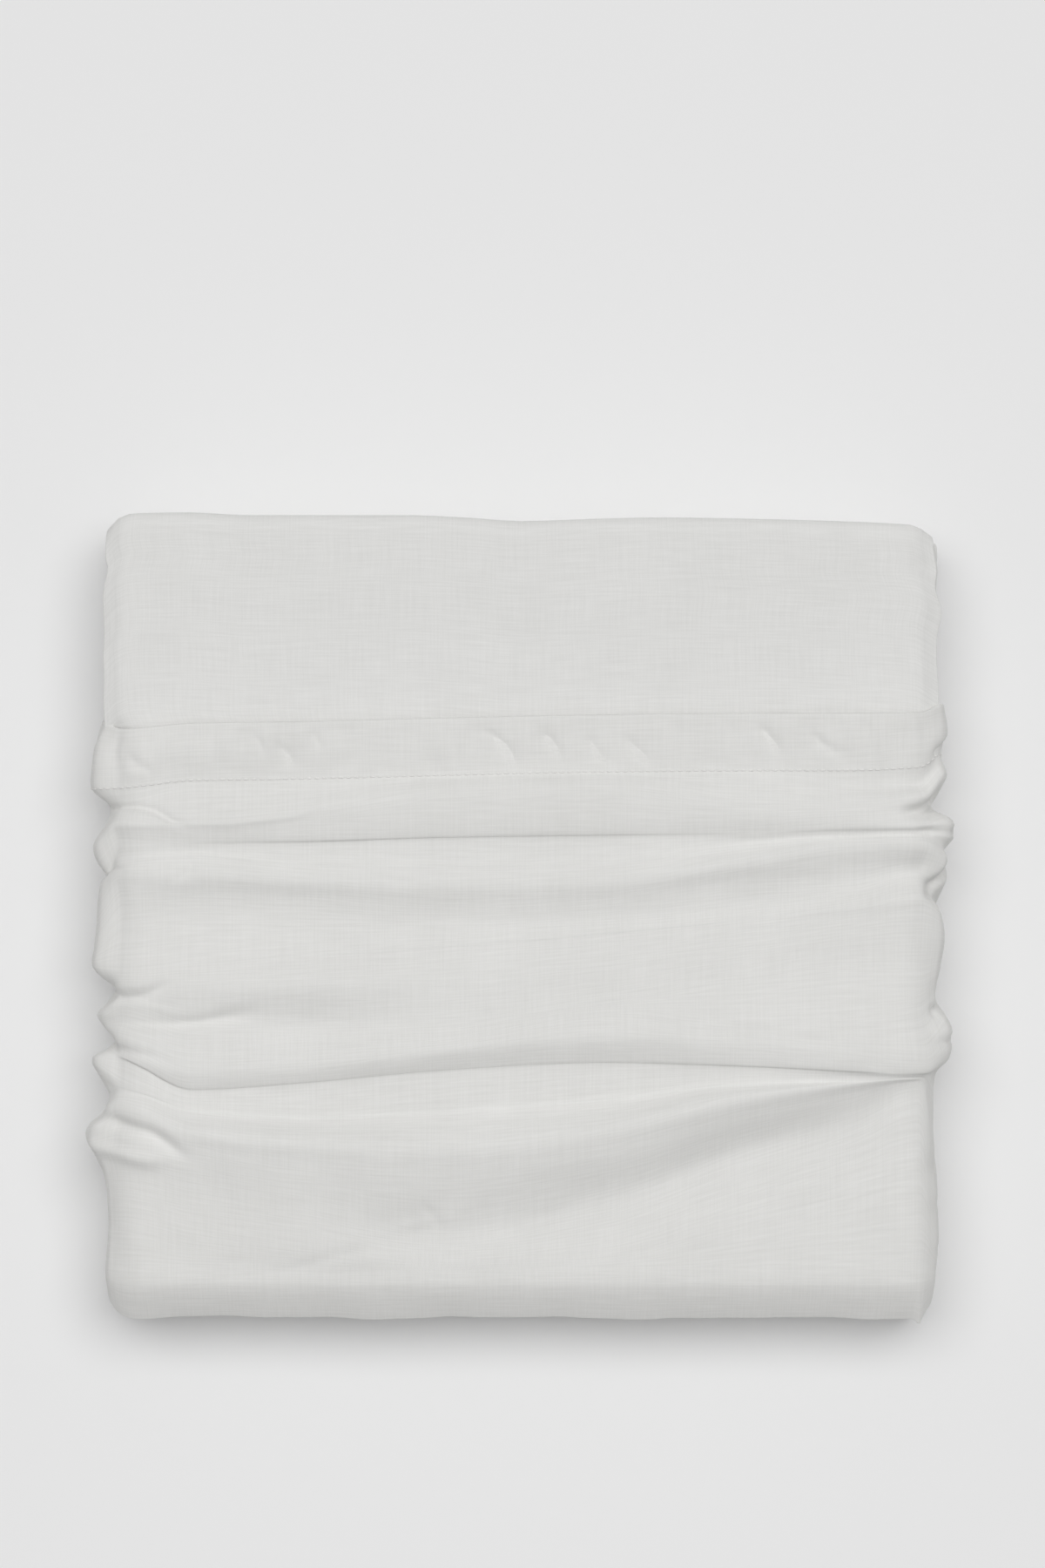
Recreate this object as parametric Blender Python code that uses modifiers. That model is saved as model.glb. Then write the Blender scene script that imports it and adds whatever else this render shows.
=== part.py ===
"""A folded linen duvet cover in its own linen slip bag, the bag pushed down in soft folds.

Two pieces of cloth, each one closed solid:
  folded_cover  the duvet cover, folded lengthwise to a strip and then back and forth in seven runs
  linen_bag     the slip bag, one sheet with its turned hem, crumpled on the lower three quarters

The bundle lies flat on a surface: Z up from it, X across the bag, -Y towards the bag's sewn end.
Sizes are in millimetres and the mesh is in metres.
"""

import bisect
import math

import bmesh
import bpy

MM = 0.001

# The cloth
SHEET_MM = 1.0
HEM_MM = 2.0
CLEARANCE_MM = 0.4

# The folded cover
RUN_THICK_MM = 6.2
RUN_PITCH_MM = 7.0
COVER_START_Y_MM = 167.0
COVER_RUNS_MM = (
    # ends at Y, left edge stands out, right edge stands out; from the lowest run up
    (-160.0, -1.5, -2.0),
    (171.0, 0.0, -1.0),
    (-168.0, -1.0, 0.5),
    (169.5, 0.5, -0.5),
    (-166.0, -0.5, 0.5),
    (172.1, 0.0, 0.0),
    (-150.0, 0.0, 0.5),
)
COVER_BASE_MM = HEM_MM + CLEARANCE_MM
COVER_TOP_MM = COVER_BASE_MM + (len(COVER_RUNS_MM) - 1) * RUN_PITCH_MM + RUN_THICK_MM
RUN_POINTS_Y_MM = (-110.0, 60.0, 82.0, 104.0, 148.0)
TURN_STEPS = 4
FREE_END_ROUND_MM = 2.5
RIM_THINS_TO = 0.6

# Across the cover, as shares of its half width
COVER_SHARES = (-1.0, -0.98, -0.95, -0.9, -0.7, -0.35, 0.0, 0.35, 0.7, 0.9, 0.95, 0.98, 1.0)

# The cover is squeezed inside the bag and relaxed outside its mouth
MOUTH_FROM_Y_MM = 82.0
MOUTH_TO_Y_MM = 108.0
SETTLES_FROM_Y_MM = 92.0
SETTLES_TO_Y_MM = 112.0
HALF_WIDTH_MM = {"in_bag": 174.4, "outside": 179.6}
EDGE_DROOP_MM = {"in_bag": 9.5, "outside": 5.0}
EDGE_REACH_MM = {"in_bag": 16.0, "outside": 9.0}
FRONT_CORNER_MM = 7.0
FRONT_CORNER_FROM_Y_MM = -138.0

# The wavy back edge of the cover: how far it stands behind or short of its own line
BACK_EDGE_MM = (
    # X, shift of Y
    (-181.0, -6.0),
    (-175.0, 0.0),
    (-145.0, 2.2),
    (-50.0, 1.0),
    (0.0, -1.4),
    (60.0, 0.2),
    (130.0, -1.2),
    (168.0, -3.0),
    (181.0, -9.0),
)

# The bag's outer loop where it lies close: a rounded rectangle round the cover
BAG_HALF_WIDTH_MM = 178.0
BAG_TOP_MM = COVER_TOP_MM + CLEARANCE_MM + SHEET_MM
BAG_CORNER_MM = 17.0
TOP_SPANS = 9
CORNER_SPANS = 3
WALL_SPANS = 2
UNDER_SPANS = 3
STEPS_BETWEEN_LINES = 2

# The sewn end, a round nose that closes on its seam
NOSE_DEEP_MM = 18.2
NOSE_NARROWS = 0.03
NOSE_STEPS = 4
NOSE_CORNER_FROM_X_MM = 166.0
NOSE_CORNER_MM = 4.0

# Places on the bag's outer loop, as distances along it from the middle of the top
PLACES_MM = {
    "under_left": -237.0,
    "side_left": -197.0,
    "edge_left": -172.0,
    "far_left": -142.0,
    "left": -95.0,
    "mid_left": -35.0,
    "mid_right": 35.0,
    "right": 95.0,
    "far_right": 142.0,
    "edge_right": 170.0,
    "side_right": 197.0,
    "under_right": 237.0,
}

# One row for each line that runs across the bag, from the mouth to the nose, with the line's Y at the places
# above. Where a row's Y comes back towards +Y, it is the hidden crease under an overhanging fold.
LINES_Y_MM = {
    # name: under, side, edge, far, left, mid, and then mid, right, far, edge, side, under
    "mouth": (84, 83, 81, 82.5, 83.5, 85, 86, 86.5, 86.5, 87.5, 88, 84),
    "hem_middle": (72, 69, 68, 70, 71, 72, 73.5, 74, 74, 76, 74, 72),
    "hem_stitch": (60, 54, 54, 58.5, 59.5, 61, 62.5, 62, 61, 63, 60, 60),
    "bulge_back": (52, 49, 51, 54, 55, 58, 60, 57.5, 55, 56, 52, 52),
    "bulge_crest": (45, 40, 46, 44.5, 46.5, 53, 55.5, 50.5, 49, 48, 45, 45),
    "bulge_shoulder": (38, 32, 38, 38.5, 39, 42.5, 43.5, 43.5, 43, 43, 41, 38),
    "bulge_lip": (31, 24, 32, 31.5, 31.8, 34, 35.3, 35.3, 36.2, 37, 36.5, 31),
    "bulge_tuck": (25, 19.5, 31, 32.5, 34.5, 38, 39, 38.5, 38, 36.5, 33, 25),
    "groove": (20, 18, 26, 29, 29.5, 29, 30, 32.5, 35.5, 35, 31.5, 20),
    "roll_back": (15, 16.5, 23, 24.5, 22.2, 20.8, 23.4, 28.8, 34.8, 33.5, 30, 15),
    "roll_crest": (8, 11, 19, 19, 17.5, 15.5, 16.5, 23, 30.5, 31, 26, 8),
    "roll_front": (0, 0, 12.5, 12.5, 10.5, 7.5, 8.5, 17.5, 26, 26, 17, 0),
    "valley": (-9, -12, 0, 0, -1, -2.5, 0, 6, 15, 18, 9.5, -9),
    "puff_back": (-18, -25, -19, -18.5, -17.5, -13.5, -9.5, -4, 1.5, 6, 5, -18),
    "puff_crest": (-27, -34, -31, -27, -24.5, -22, -19, -15, -10, -5, -4, -27),
    "puff_dimple": (-36, -40, -40, -41, -35.5, -34, -32, -29, -26, -24, -22, -36),
    "puff_belly": (-45, -46, -47, -51, -53, -50, -47.5, -46, -45, -42, -37, -45),
    "puff_shoulder": (-53, -52, -56, -64, -63.5, -59, -56, -56.5, -58, -56, -52, -53),
    "puff_lip": (-60, -55.5, -60, -72.5, -71, -65.5, -62.3, -63.2, -66, -66.5, -62, -60),
    "puff_tuck": (-66, -57, -60.5, -70, -67, -61, -58.5, -60.5, -65, -68.2, -67.5, -66),
    "shelf": (-73, -59, -64, -76.5, -76, -71, -68, -67.5, -69, -70, -71, -73),
    "ridge_back": (-82, -66, -74, -84, -86, -83, -77.5, -73, -73, -74, -76, -82),
    "ridge_crest": (-94, -80, -88, -93, -98, -97, -90, -81, -78, -80, -86, -94),
    "ridge_front": (-108, -92, -102, -108, -111, -116, -108, -94, -86, -90, -99, -108),
    "ridge_toe": (-126, -107, -115, -121, -128, -135, -126, -110, -98, -104, -115, -126),
    "apron": (-142, -132, -138, -140, -144, -147, -144, -138, -132, -134, -138, -142),
    "nose_top": (-156, -156, -156, -156, -156, -156, -156, -156, -156, -156, -156, -156),
}

# How far each line stands off the close-lying loop
STAND_PLACES_MM = (-237.0, -197.0, -172.0, -95.0, 0.0, 95.0, 170.0, 197.0, 237.0)
LINES_STAND_MM = {
    # name: side_left, edge_left, left, middle, right, edge_right, side_right
    "mouth": (4.0, 2.6, 1.2, 1.0, 1.2, 3.4, 4.6),
    "hem_middle": (6.5, 3.0, 1.3, 1.2, 1.3, 3.0, 5.5),
    "hem_stitch": (6.0, 2.8, 2.0, 2.4, 2.0, 3.0, 6.0),
    "bulge_back": (0.6, 3.2, 4.0, 4.6, 3.8, 3.0, 1.0),
    "bulge_crest": (2.5, 4.6, 8.4, 7.8, 7.6, 5.2, 1.2),
    "bulge_shoulder": (7.0, 5.4, 7.8, 8.2, 8.0, 6.4, 8.6),
    "bulge_lip": (6.0, 3.4, 3.6, 4.2, 4.2, 4.6, 9.0),
    "bulge_tuck": (0.6, 2.0, 1.2, 1.0, 1.0, 2.0, 1.6),
    "groove": (0.6, 1.6, 0.9, 0.8, 0.9, 2.0, 1.0),
    "roll_back": (2.0, 3.6, 3.6, 3.4, 4.0, 4.4, 3.0),
    "roll_crest": (4.0, 5.2, 6.4, 6.2, 7.4, 7.4, 5.6),
    "roll_front": (5.6, 4.6, 4.2, 3.6, 4.6, 5.0, 3.6),
    "valley": (6.6, 3.6, 1.2, 0.9, 1.2, 2.6, 0.4),
    "puff_back": (5.6, 3.6, 3.4, 2.8, 3.0, 3.0, 1.6),
    "puff_crest": (0.4, 4.4, 6.6, 6.0, 5.6, 4.6, 2.8),
    "puff_dimple": (2.6, 2.6, 5.2, 7.0, 6.4, 4.8, 2.2),
    "puff_belly": (5.2, 4.8, 8.2, 8.6, 7.6, 5.0, 0.4),
    "puff_shoulder": (3.2, 5.4, 7.6, 8.6, 7.6, 5.8, 6.0),
    "puff_lip": (0.8, 3.6, 3.8, 4.4, 4.0, 3.4, 5.6),
    "puff_tuck": (0.4, 1.8, 1.0, 1.0, 1.0, 1.8, 0.8),
    "shelf": (3.6, 2.6, 1.0, 1.0, 1.2, 1.6, 0.4),
    "ridge_back": (6.4, 4.6, 4.2, 3.6, 3.6, 2.0, 0.2),
    "ridge_crest": (1.2, 5.6, 8.6, 9.4, 8.8, 2.4, 0.4),
    "ridge_front": (9.7, 5.0, 5.6, 5.6, 5.4, 1.8, 0.6),
    "ridge_toe": (3.0, 2.2, 1.8, 1.4, 1.2, 1.2, 1.2),
    "apron": (0.4, 0.8, 1.0, 1.2, 1.0, 0.8, 1.0),
    "nose_top": (0.4, 0.3, 0.3, 0.3, 0.3, 0.3, 0.4),
}
HEM_LINES = 3

LINEN_COLOUR = (0.84, 0.835, 0.81)
LINEN_ROUGHNESS = 0.9


def remove_scene_objects():
    """Leaves an empty scene to build in."""
    for found in list(bpy.data.objects):
        bpy.data.objects.remove(found, do_unlink=True)


def linen_material(name):
    """White linen, matt and not metallic."""
    material = bpy.data.materials.new(name)
    material.use_nodes = True
    shader = material.node_tree.nodes["Principled BSDF"]
    shader.inputs["Base Color"].default_value = (*LINEN_COLOUR, 1.0)
    shader.inputs["Roughness"].default_value = LINEN_ROUGHNESS
    shader.inputs["Metallic"].default_value = 0.0
    return material


def smooth_step(low, high, value):
    """0 up to low, 1 from high on, and a smooth rise between them."""
    share = min(1.0, max(0.0, (value - low) / (high - low)))
    return share * share * (3.0 - 2.0 * share)


def curve_slopes(places, values):
    """Slopes of a smooth curve through the values, level at each peak and hollow, so it never overshoots."""
    rises = [
        (high - low) / (after - before)
        for before, after, low, high in zip(places, places[1:], values, values[1:])
    ]
    inner = [
        0.0 if before * after <= 0 else 2.0 * before * after / (before + after)
        for before, after in zip(rises, rises[1:])
    ]
    return [0.0, *inner, 0.0]


def value_at(places, values, place):
    """The value at a place of the smooth curve through the values, level past its two ends."""
    place = min(places[-1], max(places[0], place))
    i = min(len(places) - 2, bisect.bisect_right(places, place) - 1)
    slopes = curve_slopes(places, values)
    width = places[i + 1] - places[i]
    t = (place - places[i]) / width
    return (
        values[i] * (1 + 2 * t) * (1 - t) ** 2
        + slopes[i] * width * t * (1 - t) ** 2
        + values[i + 1] * t * t * (3 - 2 * t)
        + slopes[i + 1] * width * t * t * (t - 1)
    )


def curve_through(points, steps):
    """Points of a Catmull-Rom curve through 2D points, with that many steps from each one to the next."""
    padded = [points[0], *points, points[-1]]
    curve = []
    for a, b, c, d in zip(padded, padded[1:], padded[2:], padded[3:]):
        for k in range(steps):
            t = k / steps
            curve.append(
                tuple(
                    b[i]
                    + 0.5 * t * (c[i] - a[i])
                    + 0.5 * t**2 * (2 * a[i] - 5 * b[i] + 4 * c[i] - d[i])
                    + 0.5 * t**3 * (3 * b[i] - a[i] - 3 * c[i] + d[i])
                    for i in (0, 1)
                )
            )
    curve.append(points[-1])
    return curve


def mesh_object(name, bm, collection, material):
    """A named object from a bmesh, shaded smooth."""
    mesh = bpy.data.meshes.new(name)
    bm.to_mesh(mesh)
    bm.free()
    mesh.shade_smooth()
    mesh.materials.append(material)
    made = bpy.data.objects.new(name, mesh)
    collection.objects.link(made)
    return made


def strip_centre_line():
    """The middle line of the folded strip in the YZ plane: (y, z, normal_y, normal_z, share of thickness)."""
    turn_radius = RUN_PITCH_MM / 2
    turn_room = turn_radius + RUN_THICK_MM / 2
    z = COVER_BASE_MM + RUN_THICK_MM / 2
    way = -1.0
    y = COVER_START_Y_MM
    line = [(y, z, 0.0, way, 0.4), (y - FREE_END_ROUND_MM, z, 0.0, way, 1.0)]
    for run, (end, _, _) in enumerate(COVER_RUNS_MM):
        free = run == len(COVER_RUNS_MM) - 1
        stop = end - way * (FREE_END_ROUND_MM if free else turn_room)
        start = line[-1][0]
        between = [p for p in RUN_POINTS_Y_MM if min(start, stop) < p < max(start, stop)]
        line += [(p, z, 0.0, way, 1.0) for p in sorted(between, reverse=way < 0)]
        line.append((stop, z, 0.0, way, 1.0))
        if free:
            line.append((end, z, 0.0, way, 0.4))
            break
        for k in range(1, TURN_STEPS + 1):
            t = math.pi * k / TURN_STEPS
            line.append(
                (
                    stop + way * turn_radius * math.sin(t),
                    z + turn_radius * (1 - math.cos(t)),
                    -math.sin(t),
                    way * math.cos(t),
                    1.0,
                )
            )
        z += RUN_PITCH_MM
        way = -way
    return line


def settled(share, y, z):
    """Where a point of the straight strip lies once the cover is squeezed in its bag and sags outside it."""
    outside = smooth_step(MOUTH_FROM_Y_MM, MOUTH_TO_Y_MM, y)
    half_width, droop, reach = (
        sizes["in_bag"] + (sizes["outside"] - sizes["in_bag"]) * outside
        for sizes in (HALF_WIDTH_MM, EDGE_DROOP_MM, EDGE_REACH_MM)
    )
    lowest = COVER_BASE_MM + RUN_THICK_MM / 2
    heights = [lowest + run * RUN_PITCH_MM for run in range(len(COVER_RUNS_MM))]
    side = 1 if share < 0 else 2
    half_width += value_at(heights, [run[side] for run in COVER_RUNS_MM], z)
    half_width -= FRONT_CORNER_MM * smooth_step(-FRONT_CORNER_FROM_Y_MM, -COVER_RUNS_MM[2][0], -y)
    inward = min(1.0, half_width * (1 - abs(share)) / reach)
    drop = droop * (1 - math.sqrt(1 - (1 - inward) ** 2))
    middle = (COVER_BASE_MM + COVER_TOP_MM) / 2
    z = middle + (z - middle) * (1 - drop / (COVER_TOP_MM - middle))
    depth = (COVER_TOP_MM - z) / (COVER_TOP_MM - COVER_BASE_MM)
    z -= COVER_BASE_MM * depth * smooth_step(SETTLES_FROM_Y_MM, SETTLES_TO_Y_MM, y)
    x = share * half_width
    shift = value_at([p[0] for p in BACK_EDGE_MM], [p[1] for p in BACK_EDGE_MM], x)
    return x, y + shift * outside, z


def folded_cover(collection, material):
    """The duvet cover: the back-and-forth section of its folded strip, lofted across its width."""
    line = strip_centre_line()
    bm = bmesh.new()
    sections = []
    for share in COVER_SHARES:
        half = RUN_THICK_MM / 2 * (RIM_THINS_TO if abs(share) == 1.0 else 1.0)
        sections.append(
            [
                [
                    bm.verts.new(
                        [c * MM for c in settled(share, y + way * half * thick * ny, z + way * half * thick * nz)]
                    )
                    for y, z, ny, nz, thick in line
                ]
                for way in (1, -1)
            ]
        )
    rings = [[*one, *reversed(other)] for one, other in sections]
    for ring, following in zip(rings, rings[1:]):
        for k in range(len(ring)):
            bm.faces.new((ring[k - 1], ring[k], following[k], following[k - 1]))
    for one, other in (sections[0], sections[-1]):
        for a, b, c, d in zip(one, one[1:], other[1:], other):
            bm.faces.new((a, b, c, d))
    bmesh.ops.recalc_face_normals(bm, faces=bm.faces)
    return mesh_object("folded_cover", bm, collection, material)


def loop_point(place):
    """(x, z, out_x, out_z) on the bag's close-lying loop, where out is the way in which its folds stand off."""
    flat = BAG_HALF_WIDTH_MM - BAG_CORNER_MM
    corner = BAG_CORNER_MM * math.pi / 2
    wall = BAG_TOP_MM - 2 * BAG_CORNER_MM
    side = math.copysign(1.0, place)
    run = abs(place)
    if run <= flat:
        return place, BAG_TOP_MM, 0.0, 1.0
    if run <= flat + corner:
        t = (run - flat) / BAG_CORNER_MM
        x = flat + BAG_CORNER_MM * math.sin(t)
        z = BAG_TOP_MM - BAG_CORNER_MM * (1 - math.cos(t))
        return side * x, z, side * math.sin(t), math.cos(t)
    if run <= flat + corner + wall:
        return side * BAG_HALF_WIDTH_MM, BAG_TOP_MM - BAG_CORNER_MM - (run - flat - corner), side, 0.0
    if run <= flat + 2 * corner + wall:
        t = (flat + 2 * corner + wall - run) / BAG_CORNER_MM
        x = flat + BAG_CORNER_MM * math.sin(t)
        return side * x, BAG_CORNER_MM * (1 - math.cos(t)), side * math.sin(t), 0.0
    return side * (2 * (flat + corner) + wall - run), 0.0, 0.0, 0.0


def loop_places():
    """Places of the mesh's columns on the bag's loop, once round from the middle of the top."""
    flat = BAG_HALF_WIDTH_MM - BAG_CORNER_MM
    corner = BAG_CORNER_MM * math.pi / 2
    wall = BAG_TOP_MM - 2 * BAG_CORNER_MM
    stretches = (
        (flat, TOP_SPANS),
        (corner, CORNER_SPANS),
        (wall, WALL_SPANS),
        (corner, CORNER_SPANS),
        (flat, UNDER_SPANS),
    )
    right = [0.0]
    for length, spans in stretches:
        start = right[-1]
        right += [start + length * k / spans for k in range(1, spans + 1)]
    return right + [-place for place in reversed(right[1:-1])]


def bag_column(place):
    """The outer face's points from the mouth to the top of the nose, at one place on the loop."""
    x, z, out_x, out_z = loop_point(place)
    lines = [
        (
            value_at(list(PLACES_MM.values()), LINES_Y_MM[name], place),
            value_at(STAND_PLACES_MM, (0.0, *stands, 0.0), place),
        )
        for name, stands in LINES_STAND_MM.items()
    ]
    return [
        (x + out_x * stand, y, z + out_z * stand) for y, stand in curve_through(lines, STEPS_BETWEEN_LINES)
    ]


def nose_point(start, turn):
    """A point of the sewn end, from the top of the nose at turn 0 to the seam at a quarter turn."""
    x, y, z = start
    seam_z = BAG_TOP_MM / 2
    corner = smooth_step(NOSE_CORNER_FROM_X_MM, BAG_HALF_WIDTH_MM, abs(x))
    return (
        x * (1 - NOSE_NARROWS * (1 - math.cos(turn))),
        y - (NOSE_DEEP_MM - NOSE_CORNER_MM * corner) * math.sin(turn),
        seam_z + (z - seam_z) * math.cos(turn),
    )


def close_nose(bm, last_row, starts):
    """Joins the upper and the lower half of the last row along the seam below the nose's start points."""
    outer = [nose_point(start, math.pi / 2) for start in starts]
    upper = {}
    for start, point in zip(starts, outer):
        if start[2] >= BAG_TOP_MM / 2:
            upper.setdefault(round(point[0], 1), point)
    seam = {x: bm.verts.new([c * MM for c in point]) for x, point in sorted(upper.items())}
    xs = list(seam)
    nearest = [min(xs, key=lambda x, point=point: abs(x - point[0])) for point in outer]
    for k in range(len(last_row)):
        a, b = nearest[k - 1], nearest[k]
        along = [seam[x] for x in xs if min(a, b) <= x <= max(a, b)]
        if a < b:
            along.reverse()
        bm.faces.new((last_row[k - 1], last_row[k], *along))


def linen_bag(collection, material):
    """The slip bag: its folds lofted round the loop, closed at the nose and given its thickness inwards."""
    columns = [bag_column(place) for place in loop_places()]
    nose_starts = [column[-1] for column in columns]
    for column, start in zip(columns, nose_starts):
        column += [nose_point(start, math.pi / 2 * k / NOSE_STEPS) for k in range(1, NOSE_STEPS)]
    bm = bmesh.new()
    rows = [[bm.verts.new([c * MM for c in point]) for point in row] for row in zip(*columns)]
    for row, following in zip(rows, rows[1:]):
        for k in range(len(row)):
            bm.faces.new((row[k - 1], row[k], following[k], following[k - 1]))
    close_nose(bm, rows[-1], nose_starts)
    hem_rows = (HEM_LINES - 1) * STEPS_BETWEEN_LINES + 1
    hem = {vert for row in rows[:hem_rows] for vert in row}
    weights = bm.verts.layers.deform.verify()
    for vert in bm.verts:
        vert[weights][0] = 1.0 if vert in hem else SHEET_MM / HEM_MM
    bmesh.ops.recalc_face_normals(bm, faces=bm.faces)
    bag = mesh_object("linen_bag", bm, collection, material)
    bag.vertex_groups.new(name="thickness")
    cloth = bag.modifiers.new("Cloth", "SOLIDIFY")
    cloth.thickness = HEM_MM * MM
    cloth.offset = -1.0
    cloth.vertex_group = "thickness"
    return bag


def main():
    """Builds the two pieces in a collection named for the object."""
    remove_scene_objects()
    collection = bpy.data.collections.new("bagged_duvet_cover")
    bpy.context.scene.collection.children.link(collection)
    folded_cover(collection, linen_material("cover_linen"))
    linen_bag(collection, linen_material("bag_linen"))


if __name__ == "__main__":
    main()
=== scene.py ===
"""The looks of a folded linen duvet cover in its slip bag, whose cloth is pushed down in soft cross folds.

The bundle lies flat and is seen from straight above: X to the right, +Y towards the bare end of the cover.
Tables are in millimetres, in the frame's own axes, and meshes are in metres.
"""

import logging
import math
from dataclasses import dataclass, field
from enum import Enum
from typing import Any

import bmesh
import bpy
import numpy as np
from numpy.typing import NDArray
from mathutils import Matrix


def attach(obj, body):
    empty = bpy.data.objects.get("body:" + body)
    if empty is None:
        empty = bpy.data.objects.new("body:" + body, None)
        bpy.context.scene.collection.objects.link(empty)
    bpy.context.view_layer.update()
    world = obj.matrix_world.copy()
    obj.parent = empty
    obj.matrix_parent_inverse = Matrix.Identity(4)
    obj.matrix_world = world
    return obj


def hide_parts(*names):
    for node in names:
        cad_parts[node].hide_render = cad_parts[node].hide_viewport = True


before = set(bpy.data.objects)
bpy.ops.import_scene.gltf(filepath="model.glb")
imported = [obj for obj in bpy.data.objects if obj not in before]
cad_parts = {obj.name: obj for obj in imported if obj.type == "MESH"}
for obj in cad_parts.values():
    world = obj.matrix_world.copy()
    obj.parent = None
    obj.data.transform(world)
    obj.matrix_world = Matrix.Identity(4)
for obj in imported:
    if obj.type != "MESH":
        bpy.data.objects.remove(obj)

MM = 0.001
Array = NDArray[np.float64]
LOG = logging.getLogger("bagged_duvet_cover")
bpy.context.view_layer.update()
BODY = "root"
CLOTH_UV = "cloth"

# Places on the bag's outer loop, as distances along it from the middle of the top panel
LINE_PLACES = (-237.0, -182.0, -172.0, -142.0, -95.0, -35.0, 35.0, 95.0, 142.0, 170.0, 182.0, 237.0)


class Relief(Enum):
    """Whether a crease sinks into the cloth or stands up from it."""

    TROUGH = -1.0
    RIDGE = 1.0


@dataclass(frozen=True)
class FoldLine:
    """One line that runs across the bag.

    Attributes:
        name: what the line is on its fold.
        y: its Y at LINE_PLACES.
        stand: how far it stands off the close-lying loop, at the same places but the two ends, which are 0.
        notch: how deep a fine crease lies along it.
        notch_span: from which place to which that crease runs.
    """

    name: str
    y: tuple[float, ...]
    stand: tuple[float, ...]
    notch: float = 0.0
    notch_span: tuple[float, float] = (0.0, 0.0)


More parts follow.
